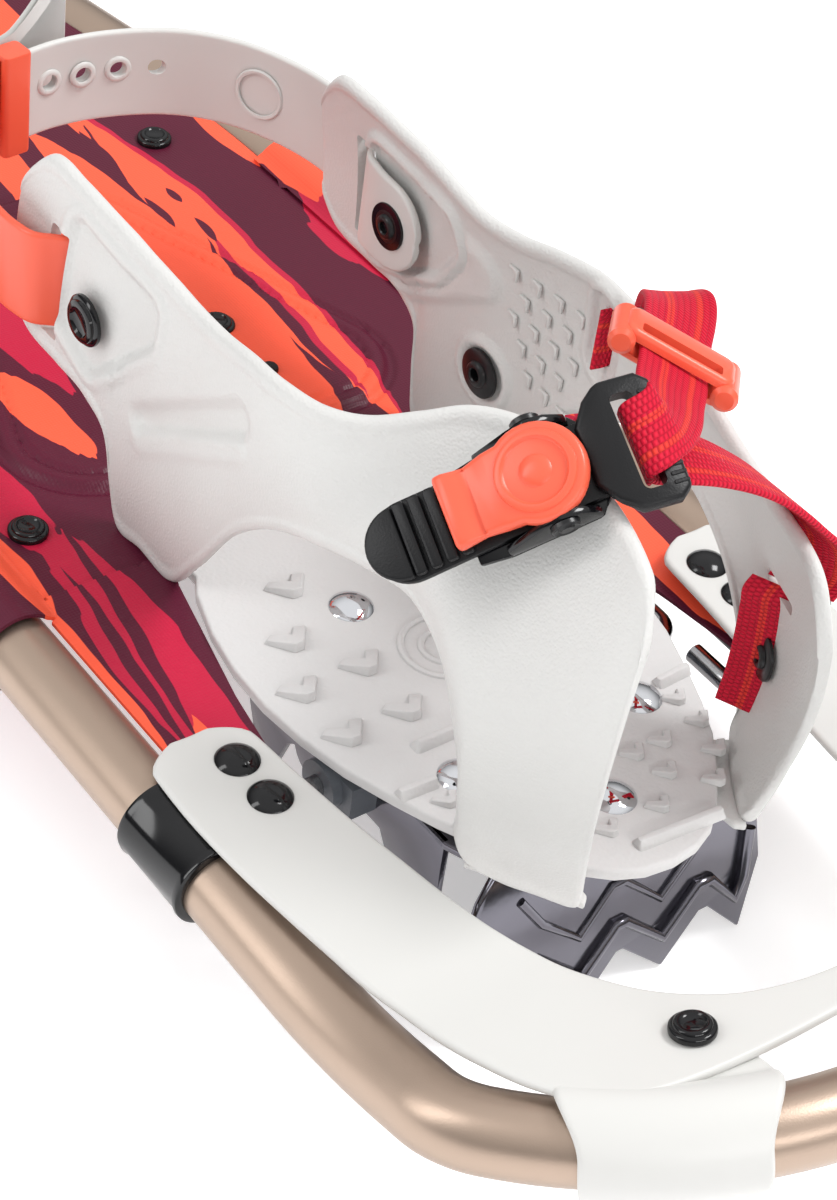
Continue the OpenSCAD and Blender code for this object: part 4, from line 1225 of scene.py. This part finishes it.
# %% Wing rivets and screws
WING_RIVET = [(0, 1.7), (3.2, 1.7), (3.7, 2.1), (4.1, 2.6), (5.2, 2.6), (5.7, 2.3), (5.85, 1.6),
              (6.5, 1.45),
              (6.95, 1.0), (7.0, 0.2), (6.9, 0), (2.5, 0), (2.5, -8), (6.6, -8.2), (6.6, -9.2),
              (0, -9.4)]
WASHER = [(0, -0.2), (1.7, -0.2), (1.7, 2.0), (2.0, 2.3), (2.9, 2.3), (3.4, 1.9), (3.6, 1.2),
          (6.2, 1.1),
          (6.7, 0.8), (6.8, 0.1), (6.6, 0), (0, -0.3)]
piece = join([lathe("Wing_Rivets", WING_RIVET, 48), lathe("R2", WING_RIVET, 48)], "Wing_Rivets")
half_count = len(piece.data.vertices) // 2
right, left = at(51.1, -110, 106) @ turn(y=90), at(-51.1, -110, 106) @ turn(y=-90)
for i, v in enumerate(piece.data.vertices):
    v.co = (right if i < half_count else left) @ v.co
settle(piece, "binding", 40)
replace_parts(dress(piece, black_gloss), "wing_rivets")


def washer(place, scale=1.0):
    made = lathe("Washer", WASHER, 40)
    made.data.transform(place @ Matrix.Scale(scale, 4))
    return made


inward = turn(y=90)
screws = [washer(at(-43.0, -110, 106) @ inward), washer(at(-46.6, -69, 83) @ inward, 1.05),
          washer(at(-43.8, 54.5, 82) @ turn(z=-25) @ at(3.5, 0, 0) @ inward, 0.95)]
backs = []
for place in (at(-51.2, -69, 83) @ turn(y=-90),
              at(-43.8, 54.5, 82) @ turn(z=-25) @ at(-2.2, 0, 0) @ turn(y=-90)):
    back = lathe("Back", [(0, 1.6), (4, 1.6), (4.9, 1.2), (5.2, 0.3), (5.2, 0), (2.4, 0), (2.4, -4),
                          (0, -4)], 32)
    back.data.transform(place)
    backs.append(back)
screws = settle(join(screws + backs, "Wing_Screws"), "binding", 40)
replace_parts(dress(screws, black_metal), "wing_screws")

# %% [markdown]
# ## Webbing
# Two runs of webbing leave the ring: one goes up and over the inner wing into its slot,
# the other down over the wing's front and in to a stitched patch. Each is a line of
# places with the strap's width direction, so it can twist as real webbing does.

# %% Webbing runs


def webbing(name, stations, width=20.0, half=0.85):
    """Stations: a point, and the direction of the strap's width there."""
    p = np.array([s[0] for s in stations], float)
    d = np.array([s[1] for s in stations], float)
    d /= np.linalg.norm(d, axis=1, keepdims=True)
    knots = np.concatenate([[0], np.cumsum(np.linalg.norm(np.diff(p, axis=0), axis=1))])
    q = edge_spaced(knots[-1], 0.9, 0.8)
    line, way = through(knots, p, q), through(knots, d, q)
    way /= np.linalg.norm(way, axis=1, keepdims=True)
    t = edge_spaced(width, 0.9, 0.8) - width / 2
    return faces_out(moulded_sheet(name, line[:, None, :] + way[:, None, :] * t[None, :, None],
                                   half, 0.8))


UPPER = [((10.9, 45.4, 159.0), (0.16, 0.89, -0.43)), ((11.6, 46.6, 162.6), (0.16, 0.89, -0.43)),
         ((9.0, 48.0, 165.2), (0.18, 0.88, -0.43)), ((5.0, 47.0, 165.6), (0.1, 0.88, -0.44)),
         ((-0.5, 42.2, 163.8), (-0.42, 0.80, -0.43)), ((-7.6, 35, 161.0), (-0.58, 0.71, -0.40)),
         ((-15, 28, 158.4), (-0.6, 0.70, -0.38)), ((-21.2, 21.5, 156.3), (-0.61, 0.69, -0.37)),
         ((-29.5, 13.2, 155.2), (-0.63, 0.68, -0.36)), ((-37.5, 5.2, 154.0), (-0.68, 0.70, -0.2)),
         ((-45.0, -4, 150.0), (-0.6, 0.74, 0.22)), ((-50.2, -13, 140), (-0.35, 0.66, 0.66)),
         ((-51.4, -21.5, 126), (-0.05, 0.25, 0.97)), ((-48.2, -26.2, 122), (0.0, 0.0, 1.0)),
         ((-44.6, -27.2, 121.7), (0.0, 0.0, 1.0))]
LOWER = [((11.2, 46.2, 161.0), (0.16, 0.89, -0.43)), ((9.4, 45.9, 158.8), (0.16, 0.89, -0.43)),
         ((5.6, 46.6, 157.6), (0.15, 0.9, -0.42)), ((-1, 48.0, 155.0), (-0.05, 0.93, -0.36)),
         ((-9, 50.0, 151.5), (-0.15, 0.94, -0.3)), ((-17, 52, 147.0), (-0.2, 0.95, -0.24)),
         ((-26, 54.8, 140.5), (-0.2, 0.96, -0.18)), ((-34, 57.5, 132.5), (-0.2, 0.97, -0.14)),
         ((-40.5, 59, 125), (-0.25, 0.96, -0.1)), ((-44.5, 58, 115), (-0.35, 0.93, -0.05)),
         ((-46, 56, 107.5), (-0.4, 0.91, 0)), ((-44.2, 55.3, 103.8), (-0.42, 0.9, 0))]
PATCH = [((-41.6, 54.2, 103.6), (-0.42, 0.9, 0)), ((-40.2, 53.6, 100.5), (-0.42, 0.9, 0)),
         ((-40.5, 53.6, 95), (-0.42, 0.9, 0)),
         ((-41.0, 53.8, 84), (-0.42, 0.9, 0)), ((-41.2, 53.6, 73), (-0.42, 0.9, 0)),
         ((-40.7, 53.2, 63), (-0.42, 0.9, 0))]
for name, stations, replaced, width in (("Webbing_Upper", UPPER, "webbing_upper", 18),
                                        ("Webbing_Lower", LOWER, "webbing_lower", 17),
                                        ("Webbing_Patch", PATCH, "webbing_patch", 19)):
    strap = settle(webbing(name, stations, width), "binding", 60)
    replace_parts(dress(strap, red_webbing), replaced)

# %% [markdown]
# ## Tri-glide and buckle
# The buckle's pieces are flat outlines in the buckle's own plane: a base with side
# cheeks, a coral lever with a round boss, a ribbed ladder strap and a ring for the
# webbing. The whole set is turned into place by one matrix.

# %% Tri-glide
glide_place = at(-21.2, 21.5, 156.3) @ turn(11, -20, -49.5)
glide = plate("Tri_Glide", rounded(-14, 14, -6.4, 6.4, 3.0), -3.4, 4.4, 1.4, 3)
cut(glide, plate("Gap", [(-10.6, -9), (10.6, -9), (10.6, 9), (-10.6, 9)], -1.7, 1.7, 0))
cut(glide, plate("Window", rounded(-10.4, 10.4, 0.8, 5.0, 0.8), 1.5, 6, 0))
hook = lathe("Hook", [(0, 8.2), (2.2, 8.0), (3.2, 6.9), (3.2, -6.9), (2.2, -8.0), (0, -8.2)], 24)
hook.data.transform(at(13.4, 0, 0.4) @ turn(x=90))
other = copy_to(hook, at(-26.8, 0, 0))
glide = faces_out(join([glide, hook, other], "Tri_Glide"))
settle(glide, "glide", 40, glide_place)
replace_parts(dress(glide, coral_tpu), "tri_glide")

# %% Buckle
buckle = at(30.6, 35.9, 147.4) @ turn(30.6, -31.5, 152.4)
base = plate("Buckle_Base", [(-15, -11), (-8, -12), (14, -12), (16.5, -9), (16.5, 9), (14, 12),
                             (-8, 12), (-15, 11)],
             0, 1.8, 0.5)
cheek = [(-8, 0), (14, 0), (14, 4), (10.5, 9.2), (6, 11), (1.5, 9.2), (-8, 4)]
cheeks = []
for y in (-12, 10):
    wall = plate("Cheek", cheek, 0, 2, 0.5)
    wall.data.transform(at(0, y + 2, 0) @ turn(x=90))
    cheeks.append(wall)
base = settle(faces_out(join([base] + cheeks, "Buckle_Base")), "binding", 40, buckle)
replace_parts(dress(base, black_gloss), "buckle_base")

cap = lathe("Lever_Pin", [(0, 1.4), (1.5, 1.4), (1.9, 0.9), (2.3, 1.0), (3.0, 1.3), (3.4, 0.9),
                          (3.4, 0), (1.5, 0),
                          (1.5, -12)], 32)
other = copy_to(cap, Matrix.Identity(4))
cap.data.transform(at(6, 12.1, 7) @ turn(x=-90))
other.data.transform(at(6, -12.1, 7) @ turn(x=90))
pin = settle(faces_out(join([cap, other], "Lever_Pin")), "binding", 40, buckle)
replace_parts(dress(pin, black_metal), "lever_pin")

lever_outline = [(-17, -8.8), (-10, -8.2), (-5, -8.9)] + arc(5, 0, 11.2, -125, 125, 26) + [
    (-5, 8.9), (-10, 8.2), (-17, 8.8)]
lever = plate("Buckle_Lever", lever_outline, 7.3, 12.0, 0)
edit(lever)
for x in (-14.5, -12, -9.5, -7, -4.5, -2):
    bpy.ops.mesh.select_all(action="SELECT")
    bpy.ops.mesh.bisect(plane_co=(x, 0, 0), plane_no=(1, 0, 0))
leave()
for v in lever.data.vertices:
    if v.co.z > 11:
        x = v.co.x
        v.co.z = 12.0 - 1.5 * math.exp(-((x + 10) / 3.6) ** 2) - (0.7 if x < -15 else 0)
add_modifier(lever, "BEVEL", width=1.3, segments=3, limit_method="ANGLE",
             angle_limit=math.radians(50))
boss = lathe("Boss", [(0, 11.8), (6.6, 11.8), (7.1, 12.1), (7.6, 12.75), (8.4, 12.8), (9.0, 12.5),
                      (9.3, 11.8)], 44)
dial = lathe("Dial", [(0, 12.7), (1.6, 12.65), (3.4, 12.3), (3.9, 11.7)], 32)
for disc in (boss, dial):
    disc.data.transform(at(5, 0, 0))
hub = lathe("Hub", [(1.6, -9.4), (2.8, -9.4), (2.9, -9), (2.9, 9), (2.8, 9.4), (1.6, 9.4),
                    (1.6, -9.4)], 28)
hub.data.transform(at(6, 0, 7.2) @ turn(x=90))
lever = settle(join([lever, boss, dial, hub], "Buckle_Lever"), "lever", 40, buckle)
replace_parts(dress(lever, coral_tpu), "buckle_lever")

tongue = [(21, -9), (21, 9)] + arc(-27, 0, 9.4, 90, 270, 22)
ladder = plate("Ladder_Strap", tongue, 2.2, 4.4, 0.7)
teeth = [plate("Tooth", rounded(-28.0 + 3.7 * k, -25.2 + 3.7 * k, -8.7, 8.7, 0.8, 3), 4.2, 6.2, 0.6,
               2)
         for k in range(4)]
pad = plate("Pad", [(x * 0.98, y) for x, y in [(-28.9, -8.7), (-28.9, 8.7)] + arc(-29.2, 0, 8.6,
                                                                                  100, 260, 18)], 4.2, 5.6, 0.8, 3)
ring = plate("Ring", [(15, -7), (18.5, -12), (22, -15.4), (31, -15.4), (34, -13), (34, 13),
                      (31, 15.4),
                      (22, 15.4), (18.5, 12), (15, 7)], 2.2, 6.2, 1.3, 3)
cut(ring, plate("Eye", rounded(23.4, 28.9, -11.4, 11.4, 1.6), 0, 12, 0))
grip = [plate("Grip", rounded(30, 33.6, -12 + 2 * k, -11.1 + 2 * k, 0.3, 2), 6.0, 6.5, 0.15,
              1) for k in range(12)]
ladder = join([ladder, pad, ring] + teeth + grip, "Ladder_Strap")
for v in ladder.data.vertices:
    if v.co.x > 19:
        droop = math.radians(26) * min(1, (v.co.x - 19) / 3)
        x, z = v.co.x - 19, v.co.z - 3.2
        v.co.x = 19 + x * math.cos(droop) + z * math.sin(droop)
        v.co.z = 3.2 + z * math.cos(droop) - x * math.sin(droop)
ladder = settle(faces_out(ladder), "ladder", 40, buckle)
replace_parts(dress(ladder, black_matte), "ladder_strap")
print("buckle placed at", [round(v, 1) for v in buckle.translation])

# %% [markdown]
# ## Floor, light and camera
# A product picture: a pale floor, broad soft light from above and both sides, and a long
# lens that looks down on the binding from ahead and outside.

# %% Stage
bpy.ops.object.select_all(action="DESELECT")
bpy.ops.mesh.primitive_plane_add(size=12, location=(0, 0, 0))
floor = bpy.context.object
floor.name = "Floor"
floor_paint = bpy.data.materials.new("floor_paint")
floor_paint.use_nodes = True
floor_paint.node_tree.nodes["Principled BSDF"].inputs["Base Color"].default_value = (0.92, 0.92, 0.93, 1)
floor_paint.node_tree.nodes["Principled BSDF"].inputs["Roughness"].default_value = 0.7
floor_paint.node_tree.nodes["Principled BSDF"].inputs["Emission Color"].default_value = (1, 1, 1, 1)
floor_paint.node_tree.nodes["Principled BSDF"].inputs["Emission Strength"].default_value = 0.42
dress(floor, floor_paint)

world = bpy.data.worlds.new("studio")
bpy.context.scene.world = world
world.use_nodes = True
sky = world.node_tree
ray = node(sky, "ShaderNodeTexCoord")
split = node(sky, "ShaderNodeSeparateXYZ")
sky.links.new(ray.outputs["Generated"], split.inputs[0])
height = node(sky, "ShaderNodeMapRange", interpolation_type="SMOOTHSTEP")
for label, value in (("From Min", 0.0), ("From Max", 0.85), ("To Min", 0.14), ("To Max", 1.0)):
    height.inputs[label].default_value = value
sky.links.new(split.outputs[2], height.inputs["Value"])
sky.links.new(height.outputs["Result"], sky.nodes["Background"].inputs["Strength"])
sky.nodes["Background"].inputs["Color"].default_value = (1, 1, 1, 1)


def soft_light(name, place, aim, size, power):
    lamp = bpy.data.lights.new(name, "AREA")
    lamp.shape = "RECTANGLE"
    lamp.size, lamp.size_y = size
    lamp.energy = power
    made = bpy.data.objects.new(name, lamp)
    bpy.context.scene.collection.objects.link(made)
    made.location = place
    made.rotation_euler = (Vector(aim) - Vector(place)).to_track_quat("-Z", "Y").to_euler()


AIM = (0, 0.12, 0.06)
soft_light("key", (-0.7, 0.5, 1.4), AIM, (0.6, 0.45), 15)
soft_light("side", (1.3, -0.4, 0.9), AIM, (0.4, 1.2), 8)
soft_light("strip", (0.2, 1.6, 0.7), AIM, (1.2, 0.25), 6)

camera_data = bpy.data.cameras.new("camera")
camera_data.lens = 82.9
camera_data.sensor_width = 36
camera = bpy.data.objects.new("camera", camera_data)
bpy.context.scene.collection.objects.link(camera)
right = Vector((-0.802, 0.586, 0.114)).normalized()
back = Vector((0.505, 0.563, 0.654)).normalized()
up = back.cross(right).normalized()
right = up.cross(back).normalized()
camera.matrix_world = Matrix.Translation((0.357, 0.5182, 0.5165)) @ Matrix(
    (right, up, back)).transposed().to_4x4()
camera_data.clip_start = 0.01
bpy.context.scene.camera = camera
bpy.context.scene.view_settings.view_transform = "Standard"
